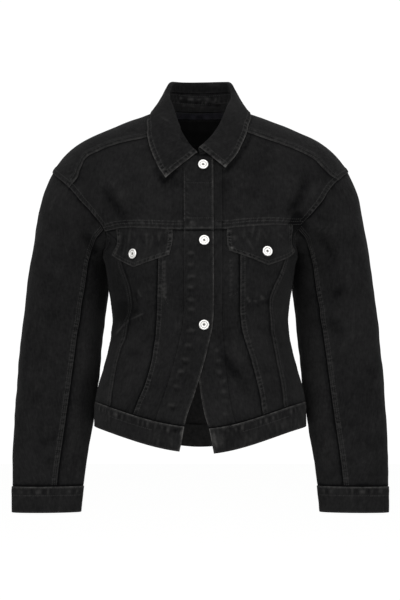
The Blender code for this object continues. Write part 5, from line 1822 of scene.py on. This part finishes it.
@dataclass
class Sleeve:
    """A two-piece sleeve and its cuff."""

    side: Side
    arm: Arm
    creases: Folds = ()
    marks: Folds = ()
    front_seam: Pair = (121, 106)
    back_seam: float = -110

    def panel(self, name: str, first: Pair, last: Pair, across: float, edges: dict) -> Cloth:
        """A sleeve panel between two seams, each given as its angle at the armhole and the cuff."""

        def surface(share: Array, up: Array) -> Array:
            """The panel's points on the arm."""
            start = first[0] + (first[1] - first[0]) * up + 0.1
            end = last[0] + (last[1] - last[0]) * up - 0.1
            degrees = start + (end - start) * share
            return self.arm.at(self.side, degrees, self.arm.rows(degrees, up))

        def tuck(share: Array, part: float) -> Array:
            """A line of the tongue that is tucked under the body at the armhole."""
            return self.arm.under_body(self.side, first[0] + (last[0] - first[0]) * share, part)

        return Cloth(f"{self.side.word}_{name}_sleeve", surface, across, 500, self.side.value, edges,
                     folds=self.creases, marks=self.marks, steps=(3.8, 1.5), uneven=0.6, tucks={Border.BOTTOM: tuck},
                     sewn_to=("back_yoke", f"{self.side.word}_front_yoke"))

    def cuff(self) -> Cloth:
        """The band round the wrist."""

        def surface(share: Array, up: Array) -> Array:
            """The cuff's points on the arm."""
            degrees = self.back_seam + 0.3 + 359.4 * share
            along = self.arm.cuff_from + 0.2 + (self.arm.cuff_to - self.arm.cuff_from) * up
            return self.arm.at(self.side, degrees, along, BAND_OUT)

        edges = borders(
            bottom=Edging(roll=0.9, rows=(2.2, 14), pucker=0.45, pitch=14, pucker_at=(7.6, 3.8), wear_and_shading=1.1,
                          row_wear=0.14, seed=15),
            top=Edging(roll=0.9, rows=(2.2,), wear_and_shading=0.25, row_wear=0.06, seed=16),
        )
        return Cloth(f"{self.side.word}_cuff", surface, 260, 42, self.side.value, edges, BAND_THICK, (1.6, 1.7),
                     sewn_to=(f"{self.side.word}_upper_sleeve",))

    def build(self, wardrobe: Wardrobe) -> None:
        """Makes the sleeve's pieces and their stitches."""
        sewing = Sewing(f"{self.side.word}_sleeve_stitches")
        back = (self.back_seam, self.back_seam)
        again = (self.back_seam + 360, self.back_seam + 360)
        ladder = Edging(lap=0.8, roll=0.8, width=8.5, rows=(1.4, 4.6, 7.8), pucker=0.36, pitch=6.6, wear_and_shading=0.24,
                        row_wear=0.2, seed=17)
        # The tongue under the body, with a painted shadow on the sleeve just below the body's edge.
        tucked = Edging(tongue=3, wear_and_shading=-0.9, tone_reach=2.2)
        upper = borders(start=OVER, end=ladder, bottom=tucked, top=(UNDER, SHADE))
        under = borders(start=UNDER, end=UNDER, bottom=tucked, top=(UNDER, SHADE))
        self.panel("upper", back, self.front_seam, 240, upper).make(wardrobe, sewing)
        self.panel("under", self.front_seam, again, 120, under).make(wardrobe, sewing)
        self.cuff().make(wardrobe, sewing)
        sewing.make(wardrobe)


@dataclass
class Collar:
    """The stand and the leaf."""

    neck: Neck
    stand_creases: Folds = fold_rows(
        (2.6, 1.4, 0.1, (-34, 27), (-8, 25), (10, 27.5)), (2.4, 1.3, 0.1, (4, 20), (32, 22)),
        (2.4, 1.2, 0.1, (-30, 17), (-6, 14.5)), (2.2, -1.3, 0.1, (-36, 22), (-4, 20), (34, 15)),
    )
    # Painted highlight on the stand's rumples and painted shade between them.
    stand_marks: Folds = (
        spots(
            (
                (-30, 27), (-17, 25.4), (-3, 26.4), (11, 27.6), (25, 24.8), (8, 20.6), (20, 21.6), (33, 20),
                (-26, 16.4), (-12, 14.6), (3, 13.6), (18, 15),
            ),
            5, 1.9, 0.11,
        )
        + spots(((-22, 21), (-6, 20.4), (14, 17.4), (28, 16), (-2, 30.2), (18, 30.6)), 7, 1.8, -0.3)
    )
    creases: Folds = fold_rows((2.4, 0.9, (-64.5, -9.4), (-46.1, -22.4)))
    # Tips rubbed pale, a painted highlight on the crease, painted shade across the back of the leaf, and pale lines.
    marks: Folds = fold_rows(
        (3, 0.9, (-54.2, -103), (-52.5, -108)), (3, 1, (37, -88.5), (40.5, -92.5)), (2.2, 0.6, (28, -82), (33, -86)),
        (1.1, 0.13, (-63, -10.5), (-51, -18.5)), (9, -0.2, 0.05, (-44, 41), (46, 41)), (3, 0.16, (6, 51), (44, 46)),
        (2, 0.3, (-3, -62), (8, -71)),
    )

    def build(self, wardrobe: Wardrobe) -> None:
        """Makes both pieces and their stitches."""
        sewing = Sewing("collar_stitches")
        edge = Edging(roll=0.9, rows=(1.8, 7.6), pucker=0.5, pitch=6.8, wear_and_shading=0.9, row_wear=0.2, seed=19)
        leaf = borders(start=edge, end=edge, top=edge)
        Cloth("collar_leaf", self.neck.leaf, 560, 92, 1, leaf, 1.8, (1.7, 1.5), self.creases,
              raised=1, marks=self.marks, sewn_to=("collar_stand",)).make(wardrobe, sewing)
        high = Edging(rows=(26,), pucker=0.5, pitch=13, pucker_at=(21, 2.6), row_wear=0.1, seed=20)
        low = Edging(rows=(13,), pucker=0.5, pitch=9, pucker_at=(15, 2.6), row_wear=0.1, seed=23)
        # Painted shade along the stand's top, under the leaf's fold.
        stand = borders(bottom=(high, low), top=Edging(wear_and_shading=-0.9, tone_reach=1.8))
        Cloth("collar_stand", self.neck.stand, 380, 24, 1, stand, 1.8, (1.7, 1.5),
              self.stand_creases, raised=1, marks=self.stand_marks).make(wardrobe, sewing)
        sewing.make(wardrobe)


@dataclass
class NeckTrim:
    """The bare label and the tape inside the back neck."""

    pattern: Pattern
    label_size: Triple = (36, 10.5, 52)
    tape_size: Triple = (42, -0.6, 9.6)
    depth: float = 2.5

    def build(self, wardrobe: Wardrobe) -> None:
        """Makes both pieces and the stitches round the label."""
        pattern = self.pattern
        sewing = Sewing("label_stitches", pitch=2.6, length=2, radius=0.25)
        half_width, top, bottom = self.label_size

        def label(across: Array, up: Array) -> Array:
            """The label's face."""
            height = float(pattern.neck_height(180)) - bottom + (bottom - top) * up
            half_angle = pattern.torso.angle_at(half_width, height)
            angle = 180 + half_angle * (2 * across - 1)
            return pattern.torso.at(angle, height, -self.depth - 0.8)

        half_angle, tape_top, tape_bottom = self.tape_size

        def tape(across: Array, up: Array) -> Array:
            """The tape's face."""
            angle = 180 + half_angle * (2 * across - 1)
            height = pattern.neck_height(angle) - tape_bottom + (tape_bottom - tape_top) * up
            return pattern.torso.at(angle, height, -self.depth - 0.8)

        row = Edging(rows=(1.3,), roll=0.3)
        round_it = {border: (row,) for border in Border}
        Cloth("neck_label", label, 72, 42, -1, round_it, 0.7, (2, 2), uneven=0.2,
              finish="label").make(wardrobe, sewing)
        Cloth("neck_tape", tape, 92, 8.5, -1, borders(bottom=row, top=row), 0.7, (2, 1.7),
              uneven=0.2, finish="tape").make(wardrobe, sewing)
        sewing.make(wardrobe)


@dataclass
class Buttons:
    """The metal tack buttons: a ring round a dished face with a small stud in it."""

    pattern: Pattern
    # Radius, rise and tone of each ring; the tone is painted shade, darker in the groove, the dimple and towards the
    # foot.
    profile: Table = (
        (0, 0, 0.3), (3.9, 0, 0.3), (4.1, 0.3, 0.3), (4.1, 1, 0.3), (6.2, 1.15, 0.5), (7.6, 1.45, 0.7),
        (7.9, 1.9, 0.8), (8, 2.5, 0.9), (7.9, 3.1, 1), (7.5, 3.55, 1), (6.9, 3.85, 1), (6.3, 3.9, 1),
        (5.8, 3.75, 0.9), (5.4, 3.4, 0.3), (5.1, 3.2, 0.1), (4.8, 3.2, 0.25), (4.3, 3.3, 0.75), (3.6, 3.35, 0.85),
        (3, 3.35, 0.8), (2.6, 3.2, 0.55), (2.2, 3.15, 0.6), (1.8, 3.1, 0.2), (1.5, 2.6, -0.1), (0.6, 2.3, -0.1),
        (0, 2.3, -0.1),
    )
    steps: int = 48
    lift: float = 0.3
    front: tuple[Pair, ...] = ((4.5, -88.9), (6.1, -207.4), (5.7, -337.5))
    flaps: tuple[Pair, Pair] = ((-102, -227.8), (102.3, -224.4))
    flap_turns: Pair = (13, -8)

    def button(self, name: str, x: float, height: float, out: float, turned: float, wardrobe: Wardrobe) -> None:
        """Makes one button: its profile, turned about the normal of the cloth further round the body."""
        angle = self.pattern.torso.angle_at(x, np.float64(height))
        normal = self.pattern.torso.normal(angle, np.float64(height))
        place = self.pattern.torso.at(angle, height, out)
        yaw = math.radians(turned) * (1 if x > 0 else -1)
        normal = np.array([
            normal[0] * math.cos(yaw) - normal[1] * math.sin(yaw),
            normal[0] * math.sin(yaw) + normal[1] * math.cos(yaw), normal[2],
        ])
        sideways = unit(np.cross(normal, (0, 0, 1)))
        upwards = np.cross(sideways, normal)
        turn = 2 * math.pi * np.arange(self.steps) / self.steps
        spokes = np.cos(turn)[:, None] * sideways + np.sin(turn)[:, None] * upwards
        # Each ring's tone, as painted shade.
        rings, shade_tones, ring_faces = [place + normal * self.lift], [0.3], []
        for radius, rise, tone in self.profile[1:-1]:
            rings.append(place + spokes * radius + normal * (rise + self.lift))
            shade_tones += [tone] * self.steps
        rings.append(place + normal * (self.profile[-1][1] + self.lift))
        shade_tones.append(self.profile[-1][2])
        points = np.concatenate([np.atleast_2d(ring) for ring in rings])
        last = len(points) - 1
        for k in range(self.steps):
            after = (k + 1) % self.steps
            ring_faces.append((0, 1 + k, 1 + after))
            for ring in range(len(self.profile) - 3):
                low, high = 1 + ring * self.steps, 1 + (ring + 1) * self.steps
                ring_faces.append((low + k, high + k, high + after, low + after))
            low = last - self.steps
            ring_faces.append((low + k, last, low + after))
        mesh = bpy.data.meshes.new(name)
        mesh.from_pydata(points * MM, [], ring_faces)
        mesh.polygons.foreach_set("use_smooth", np.ones(len(mesh.polygons), bool))
        mesh.attributes.new("wear_and_shading", "FLOAT", "POINT").data.foreach_set("value", np.array(shade_tones, np.float32))
        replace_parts(link(name + "_metal", mesh, wardrobe.finish("button_metal"), "button_metal"), name)
        log.info("%s: at %.1f, %.1f", name, x, height)

    def build(self, wardrobe: Wardrobe) -> None:
        """Makes the buttons."""
        face = self.pattern.front_out + STRIP_OUT
        for number, (x, height) in enumerate(self.front, start=1):
            self.button(f"front_button_{number}", x, height, face, 0, wardrobe)
        for side, (x, height), turned in zip(Side, self.flaps, self.flap_turns):
            self.button(f"{side.word}_flap_button", x, height, BUTTON_OUT, turned, wardrobe)


# The studio.


@dataclass
class Studio:
    """The camera, the pale floor and the soft lights."""

    eye: Triple = (-0.0005, -4, -0.2992)
    lens: float = 150
    floor_height: float = -1.15
    floor_reach: float = 9
    ground: tuple[Colour, Colour] = ((0.92, 0.92, 0.92, 1), (0.96, 0.96, 0.95, 1))
    sky: float = 1.05
    sky_light: float = 0.38
    floor_glow: float = 0.62
    lights: tuple[tuple[str, Triple, Pair, float], ...] = (
        ("key", (-1.1, -3.2, 1.1), (2, 2), 34),
        ("fill", (1.6, -3.2, 0.2), (2, 2), 24),
        ("top", (0, -0.6, 2.4), (2.2, 1.4), 10),
    )
    aim: Triple = (0, 0, -0.28)

    def look(self, thing: bpy.types.Object, target: Triple) -> None:
        """Turns a lamp towards a point."""
        way = np.subtract(target, thing.location)
        thing.rotation_euler = (
            math.pi / 2 + math.atan2(way[2], math.hypot(way[0], way[1])), 0, math.atan2(-way[0], way[1])
        )

    def build(self) -> None:
        """Sets the camera, the floor, the sky and the lamps."""
        scene = bpy.context.scene
        camera = placed("camera", bpy.data.cameras.new("camera"))
        camera.location = self.eye
        camera.rotation_euler = (math.pi / 2, 0, 0)
        camera.data.lens = self.lens
        camera.data.sensor_width = 36
        camera.data.clip_end = 60
        scene.camera = camera
        world = bpy.data.worlds.new("sky")
        world.use_nodes = True
        tree = world.node_tree
        background = tree.nodes["Background"]
        background.inputs["Color"].default_value = WHITE
        seen = tree.nodes.new("ShaderNodeLightPath")
        strength = tree.nodes.new("ShaderNodeMapRange")
        strength.inputs["To Min"].default_value = self.sky
        strength.inputs["To Max"].default_value = self.sky_light
        tree.links.new(seen.outputs["Is Diffuse Ray"], strength.inputs["Value"])
        tree.links.new(strength.outputs["Result"], background.inputs["Strength"])
        scene.world = world
        scene.view_settings.view_transform = "Standard"
        mesh = bpy.data.meshes.new("floor")
        corners = [(x * self.floor_reach, y * self.floor_reach, self.floor_height)
                   for x, y in ((-1, -1), (1, -1), (1, 1), (-1, 1))]
        mesh.from_pydata(corners, [], [(0, 1, 2, 3)])
        n = Nodes("floor")
        tone = n.ramp(n.noise(n.add("TexCoord").outputs["Object"], 3), -3, 4)
        glow = n.maths("MULTIPLY", n.add("LightPath").outputs["Is Camera Ray"], self.floor_glow)
        mesh.materials.append(n.fill(Base_Color=n.blend(tone, *self.ground), Roughness=0.9, Specular_IOR_Level=0,
                                     Emission_Color=WHITE, Emission_Strength=glow))
        floor = placed("floor", mesh)
        for name, place, size, power in self.lights:
            lamp = bpy.data.lights.new(name, "AREA")
            lamp.shape = "RECTANGLE"
            lamp.size, lamp.size_y = size
            lamp.energy = power
            made = placed(name, lamp)
            made.location = place
            self.look(made, self.aim)


# Tone marks by the shoulder seams: rubbed pale and painted highlight on the puckers, painted shade between them.
SHOULDER_MARKS = (
    spots(((-208, -97), (-203.5, -103), (-198, -109), (208, -93), (213, -99)), 3.6, 1.8, 0.14)
    + spots(((-206, -100), (-200.5, -106), (210, -96), (204, -92)), 3.6, 1.5, -0.3)
    + spots(((-158, -54), (-134, -46.5), (120, -44), (146, -54), (170, -66)), 4, 1.6, 0.08)
)
RIGHT_CREASES = fold_rows(
    (8.5, -3.4, 0.25, (-150.2, -120.2), (-137.7, -142.7), (-120.1, -168.7)), (12, 1, (-136, -116), (-112, -150)),
    (3.2, 1.2, 0.2, (-80, -315.7), (-99, -321.6), (-114.5, -330.3), (-126.7, -344.3), (-135.8, -358)),
    (7, -1.6, (-117.6, -383.2), (-88.2, -383.2)), (6, -1.2, (-60, -352), (-96, -366)),
    (5, -1, (-52, -318), (-84, -306)), (5, -1.1, (-66, -262), (-104, -272)), (5, -1, (-96, -456), (-122, -476)),
    (5, 1, (-141.3, -434.6), (-141.3, -463.5)),
)
LEFT_CREASES = fold_rows(
    (9.5, -4.4, 0.3, (170.5, -101), (160.8, -126.9), (151.4, -147.3), (136.8, -173.3)),
    (8, 1, (180, -110), (172, -140)), (14, 1, (146.4, -100.8), (128.5, -145.6)),
    (10, -2.2, (35.3, -387.9), (58.4, -416.8), (80.4, -448)), (4, -1.4, (72, -306), (112, -300)),
    (7, -1.3, (84, -340), (126, -356)), (6, -1.1, (96, -262), (128, -254)), (11, -1, (60, -130), (98, -142)),
    (12, 0.8, (50, -368), (80, -414)),
)
RIGHT_BUMPS = (
    (-14.9, -226.3), (-14.9, -243.8), (-13.9, -262), (-14.9, -278.5), (-14.4, -298.3), (-13.9, -313.1),
    (-14.3, -346.2), (-18.5, -369), (-23.5, -391.4), (-29.6, -409.9), (-37.3, -432.8), (-44, -462),
)
LEFT_BUMPS = (
    (26.5, -377.4), (27.5, -393.4), (29.2, -410.7), (34.7, -425.5), (35.9, -441.3), (37.6, -456.1), (39.3, -475.9),
)
RIGHT_STRIP = (
    spots(RIGHT_BUMPS, 6.5, 3.2, 1.1)
    + fold_rows(
        (1.6, 0.5, 0.02, (-26, -172.4), (22, -172.4)), (1.6, 0.6, 0.02, (-26, -188), (22, -188)),
        (1.2, -0.9, 0.02, (-26, -191), (22, -191)),
    )
)
LEFT_STRIP = spots(LEFT_BUMPS, 6.5, 3.2, 1)
# Tone marks on the right front: rubbed-pale lines on the stitching and spots on seam crossings, painted highlight and
# shade on the puckers and creases, painted shadows under the collar, the chest seam and the puckers, and painted
# shade in the armpit and down the side.
RIGHT_MARKS = (
    spots(tuple((-56.5, -240 - 6.9 * k) for k in range(8)), 3.4, 1.9, 0.22)
    + spots(RIGHT_BUMPS, 7.5, 2.6, 0.15)
    + spots(tuple((x + 1, z - 6.5) for x, z in RIGHT_BUMPS), 6.5, 2.4, -0.2)
    + spots(((-14, -186.5), (2, -186.5), (15, -186.5), (-14, -178)), 3, 2, 0.28)
    + fold_rows(
        (9, -0.75, 0.15, (-148, -200), (-153, -225), (-150, -262), (-144, -286)),
        (30, -0.3, 0.15, (-132, -240), (-128, -300), (-112, -355)),
        (10, -0.4, 0.15, (-148, -290), (-142, -330), (-146, -366)),
        (12, -0.3, 0.15, (-122, -300), (-120, -318), (-126, -334)),
        (1.6, 0.42, 0.1, (-134, -354), (-122, -340), (-110, -330), (-89, -320)),
        (4.5, -0.22, 0.15, (-127, -340), (-112, -325), (-96, -315)),
        (2.2, 0.2, 0.2, (-110, -262), (-107, -285), (-104, -300)), (2, 0.26, 0.2, (-98, -282), (-92, -296)),
        (2.2, -0.2, 0.2, (-102, -286), (-98, -302)), (1.1, 0.1, 0.1, (-54.5, -238), (-54.5, -290)),
        (1.4, 0.3, 0.2, (-58, -291), (-53, -297)), (1.3, -0.6, 0.1, (-23, -190.6), (18, -190.6)),
        (1.1, 0.22, 0.1, (-22, -187.4), (18, -187.4)), (3, 0.14, 0.2, (-20, -181.5), (-6, -181.5)),
        (9, -0.18, (-44, -104), (-36, -126)), (3.4, -0.5, 0.1, (-64, -104), (-55, -114), (-36, -97)),
        (2.4, -0.3, 0.1, (-81, -44), (-77, -70), (-64, -102)), (9, -0.25, 0.2, (-122, -160), (-116, -180)),
        (4, -0.2, (-74, -92), (-60, -116), (-44, -108)), (1.4, 0.05, (-126, -246), (-110, -284)),
        (1.6, 0.1, (-138, -356), (-102, -318)), (1.3, 0.09, (-66, -244), (-68, -296)),
        (2, 0.16, (-74, -288), (-58, -296)), (1.6, 0.14, (-64, -276), (-52, -290)),
    )
)
# Tone marks on the left front: rubbed-pale spots on the stitching and seams, painted highlight and shade on the
# puckers and creases, painted shadows under the collar, the chest seam and the puckers, and painted shade in the
# armpit corner.
LEFT_MARKS = (
    spots(LEFT_BUMPS, 7, 2.8, 0.09)
    + spots(tuple((x + 1, z - 7) for x, z in LEFT_BUMPS), 6, 2.4, -0.12)
    + spots(tuple((47.5, -238 - 7.6 * k) for k in range(8)), 3.2, 1.9, 0.14)
    + fold_rows(
        (10, -0.5, 0.2, (152, -190), (149, -206), (150, -238), (146, -276)), (1.8, 0.24, 0.2, (72, -294), (78, -303)),
        (1.8, 0.28, 0.2, (84, -298), (89, -306)), (1.8, 0.28, 0.2, (94, -292), (99, -299)),
        (5, -0.14, 0.2, (70, -309), (82, -311), (94, -307)), (2.2, -0.12, 0.2, (78, -296), (94, -301)),
        (1.3, -0.5, 0.1, (21, -190.4), (36, -189.8)), (1.1, 0.14, 0.1, (21, -187.2), (36, -186.8)),
        (3, 0.1, 0.2, (24, -181.5), (34, -181.5)), (12, -1.1, 0.1, (144, -170), (160, -182)),
        (3.2, -0.4, 0.1, (84, -18), (76, -50), (60, -76), (42, -97), (34, -98)), (8, -0.2, (44, -104), (34, -142)),
        (2.2, 0.13, (74, -303.5), (112, -297)), (2.6, -0.14, (78, -309.5), (108, -304)),
        (6, -0.16, (26, -352), (40, -392), (62, -430)),
    )
)
RIGHT_CORNER = fold_rows(
    (2.4, 0.5, (-32, -503), (-26, -507), (-26, -514)), (3, 0.3, (-32, -524), (-29, -530)),
    (3, 0.12, (-46, -510), (-44, -528)),
)
LEFT_CORNER = fold_rows(
    (2.4, 0.5, (20, -503), (22, -516), (26, -530)), (5, 0.16, (28, -506), (34, -528)),
    (3, -0.1, (40, -512), (42, -528)),
)
RIGHT_SLEEVE_CREASES = fold_rows(
    (5, 0.6, (-285.6, -469.5), (-246, -469.5)), (7, -1.6, (-258.7, -516.2), (-241.2, -533.6)),
    (6, -1.2, (-241.2, -547.9), (-241.2, -563.7)), (9, 0.7, (-242.8, -454.4), (-242.8, -494)),
    (10, -1.2, (-177.9, -414.8), (-177.9, -481.4)),
)
# Painted shade on the sleeve by the armpit and the armhole seam, and broad painted light down its underside.
RIGHT_SLEEVE_MARKS = fold_rows(
    (10, -0.42, 0.2, (-166, -235), (-160, -285), (-154, -330)), (8, -0.4, 0.2, (-178, -200), (-164, -226)),
    (7, -0.3, (-172, -205), (-186, -190)), (16, 0.035, 0.15, (-174, -345), (-196, -420), (-200, -500), (-206, -560)),
)
LEFT_SLEEVE_CREASES = fold_rows(
    (4, 1.2, (172.5, -178.6), (206.3, -188.7)), (4.5, -1.4, (177.7, -166), (210.6, -176.5)),
    (8, -2.8, (184.6, -191.5), (203.4, -218), (218.1, -251.7)),
    (7, -2.2, (229.2, -272.3), (218.1, -286.5), (213.4, -302.4)),
    (8, -2.6, (200.7, -323), (214.9, -343.6), (229.2, -357.8)), (9, 0.8, (234, -240.6), (234, -288.1)),
    (7, -1.8, (264.1, -405.3), (281.5, -425.9)), (5, 1.2, (173.8, -532), (184.9, -557.4)),
    (5, -1.2, (264.1, -578), (289.4, -578)), (4, -1.2, (192.8, -576.4), (205.4, -589.1)),
)
# Painted shade on the sleeve by the armpit and the armhole seam, broad painted light down its underside, and a thin
# painted highlight on a fold.
LEFT_SLEEVE_MARKS = fold_rows(
    (9, -0.45, (160, -176), (168, -200)), (8, -0.35, 0.2, (160, -196), (156, -240), (154, -290)),
    (5, -0.3, (166, -196), (176, -212)), (16, 0.04, 0.15, (174, -345), (196, -420), (200, -500), (206, -560)),
    (1.6, 0.08, (183, -188), (206, -196)),
)


def main() -> None:
    """Loads the frame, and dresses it."""
    logging.basicConfig(level=logging.INFO, format="%(name)s %(message)s")
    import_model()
    wardrobe = Wardrobe()
    pattern = Pattern()
    arm = Arm()
    Studio().build()
    Back(pattern).build(wardrobe)
    Front(
        Side.RIGHT, pattern, flap_top=((-43, -192.4), (-132.5, -190)), flap_tip=(-103, -247.8),
        flap_low=((-48, -229.5), (-137.5, -228.5)), bag=(-50, -199, -299), creases=RIGHT_CREASES,
        strip_creases=RIGHT_STRIP, marks=RIGHT_MARKS, corner=RIGHT_CORNER,
        flap_creases=fold_rows(
            (3, 1.2, (-124.9, -196.1), (-124.9, -212)), (3.5, 1.4, (-86.5, -192.4), (-76.6, -214.6)),
            (4, 1, (-62, -194), (-60, -214)),
        ),
        # Crease ridges, rubbed pale and given painted highlight; a corner rubbed pale; painted shade between the
        # creases.
        flap_marks=fold_rows(
            (1.5, 0.1, (-127, -195), (-123, -212)), (1.4, 0.06, (-104, -192), (-100, -206)),
            (1.3, 0.12, (-84, -192), (-83, -214)), (2, 0.1, (-76, -196), (-72, -208)),
            (1.8, 0.12, (-63, -197), (-65, -210)), (3, 0.5, (-49.5, -222), (-51, -228)),
            (2.2, -0.16, (-92, -194), (-88, -216)), (2.2, -0.14, (-70, -194), (-68, -216)),
        ),
        lines=(
            (0.1, ((-61.2, -252.5), (-61.2, -313.2))), (0.1, ((-56.5, -252.5), (-56.5, -294.1), (-50, -306))),
            (0.5, ((-22.5, -117), (18, -117))), (0.9, ((-22.5, -172.4), (18, -172.4))),
            (0.9, ((-22.5, -188), (18, -188))),
        ),
        strip_edges=(
            Edging(roll=0.25, wear_and_shading=0.08, seed=6),
            Edging(rows=(1.8,), pucker=0.3, pitch=9.4, pucker_at=(7.5, 3), row_wear=0.3, span=(0.68, 0.9), seed=6),
        ),
    ).build(wardrobe)
    Front(
        Side.LEFT, pattern, flap_top=((41.6, -190.5), (144.8, -187.5)), flap_tip=(104.8, -244.7),
        flap_low=((44.5, -222.2), (147.5, -223.4)), bag=(47, -199, -300), creases=LEFT_CREASES,
        strip_creases=LEFT_STRIP, marks=LEFT_MARKS, corner=LEFT_CORNER,
        flap_creases=fold_rows(
            (3.5, 1.2, (66.4, -199), (84.2, -223)), (3, 1, (91.2, -187.2), (91.2, -205.8)),
            (3, 1, (117.2, -188.7), (117.2, -213.6)), (3.5, 0.8, (130.2, -191.8), (130.2, -201.2)),
        ),
        # Crease ridges, rubbed pale and given painted highlight; a corner rubbed pale; painted shade between the
        # creases.
        flap_marks=fold_rows(
            (2.8, 0.16, (51.5, -197), (54.5, -209)), (1.3, 0.1, (68.4, -196), (82.2, -222)),
            (2.6, 0.55, (48.5, -216), (50, -221)), (1.3, 0.1, (91.2, -188), (92.2, -204)),
            (1.2, 0.08, (98.2, -192), (103, -206)), (1.5, 0.1, (120.2, -194), (133, -206)),
            (2, -0.14, (62, -200), (70, -220)), (2.4, -0.14, (139, -196), (141, -216)),
        ),
        lines=(
            (0.1, ((46.2, -235.4), (46.2, -297.6), (58.4, -286.8))), (0.9, ((22, -175), (36, -174.6))),
            (0.9, ((22, -187.4), (36, -187))),
        ),
        strip_edges=(Edging(roll=0.2, wear_and_shading=0.03, seed=6),),
    ).build(wardrobe)
    Sleeve(Side.RIGHT, arm, RIGHT_SLEEVE_CREASES, RIGHT_SLEEVE_MARKS).build(wardrobe)
    Sleeve(Side.LEFT, arm, LEFT_SLEEVE_CREASES, LEFT_SLEEVE_MARKS).build(wardrobe)
    Collar(Neck()).build(wardrobe)
    NeckTrim(pattern).build(wardrobe)
    Buttons(pattern).build(wardrobe)


if __name__ == "__main__":
    main()
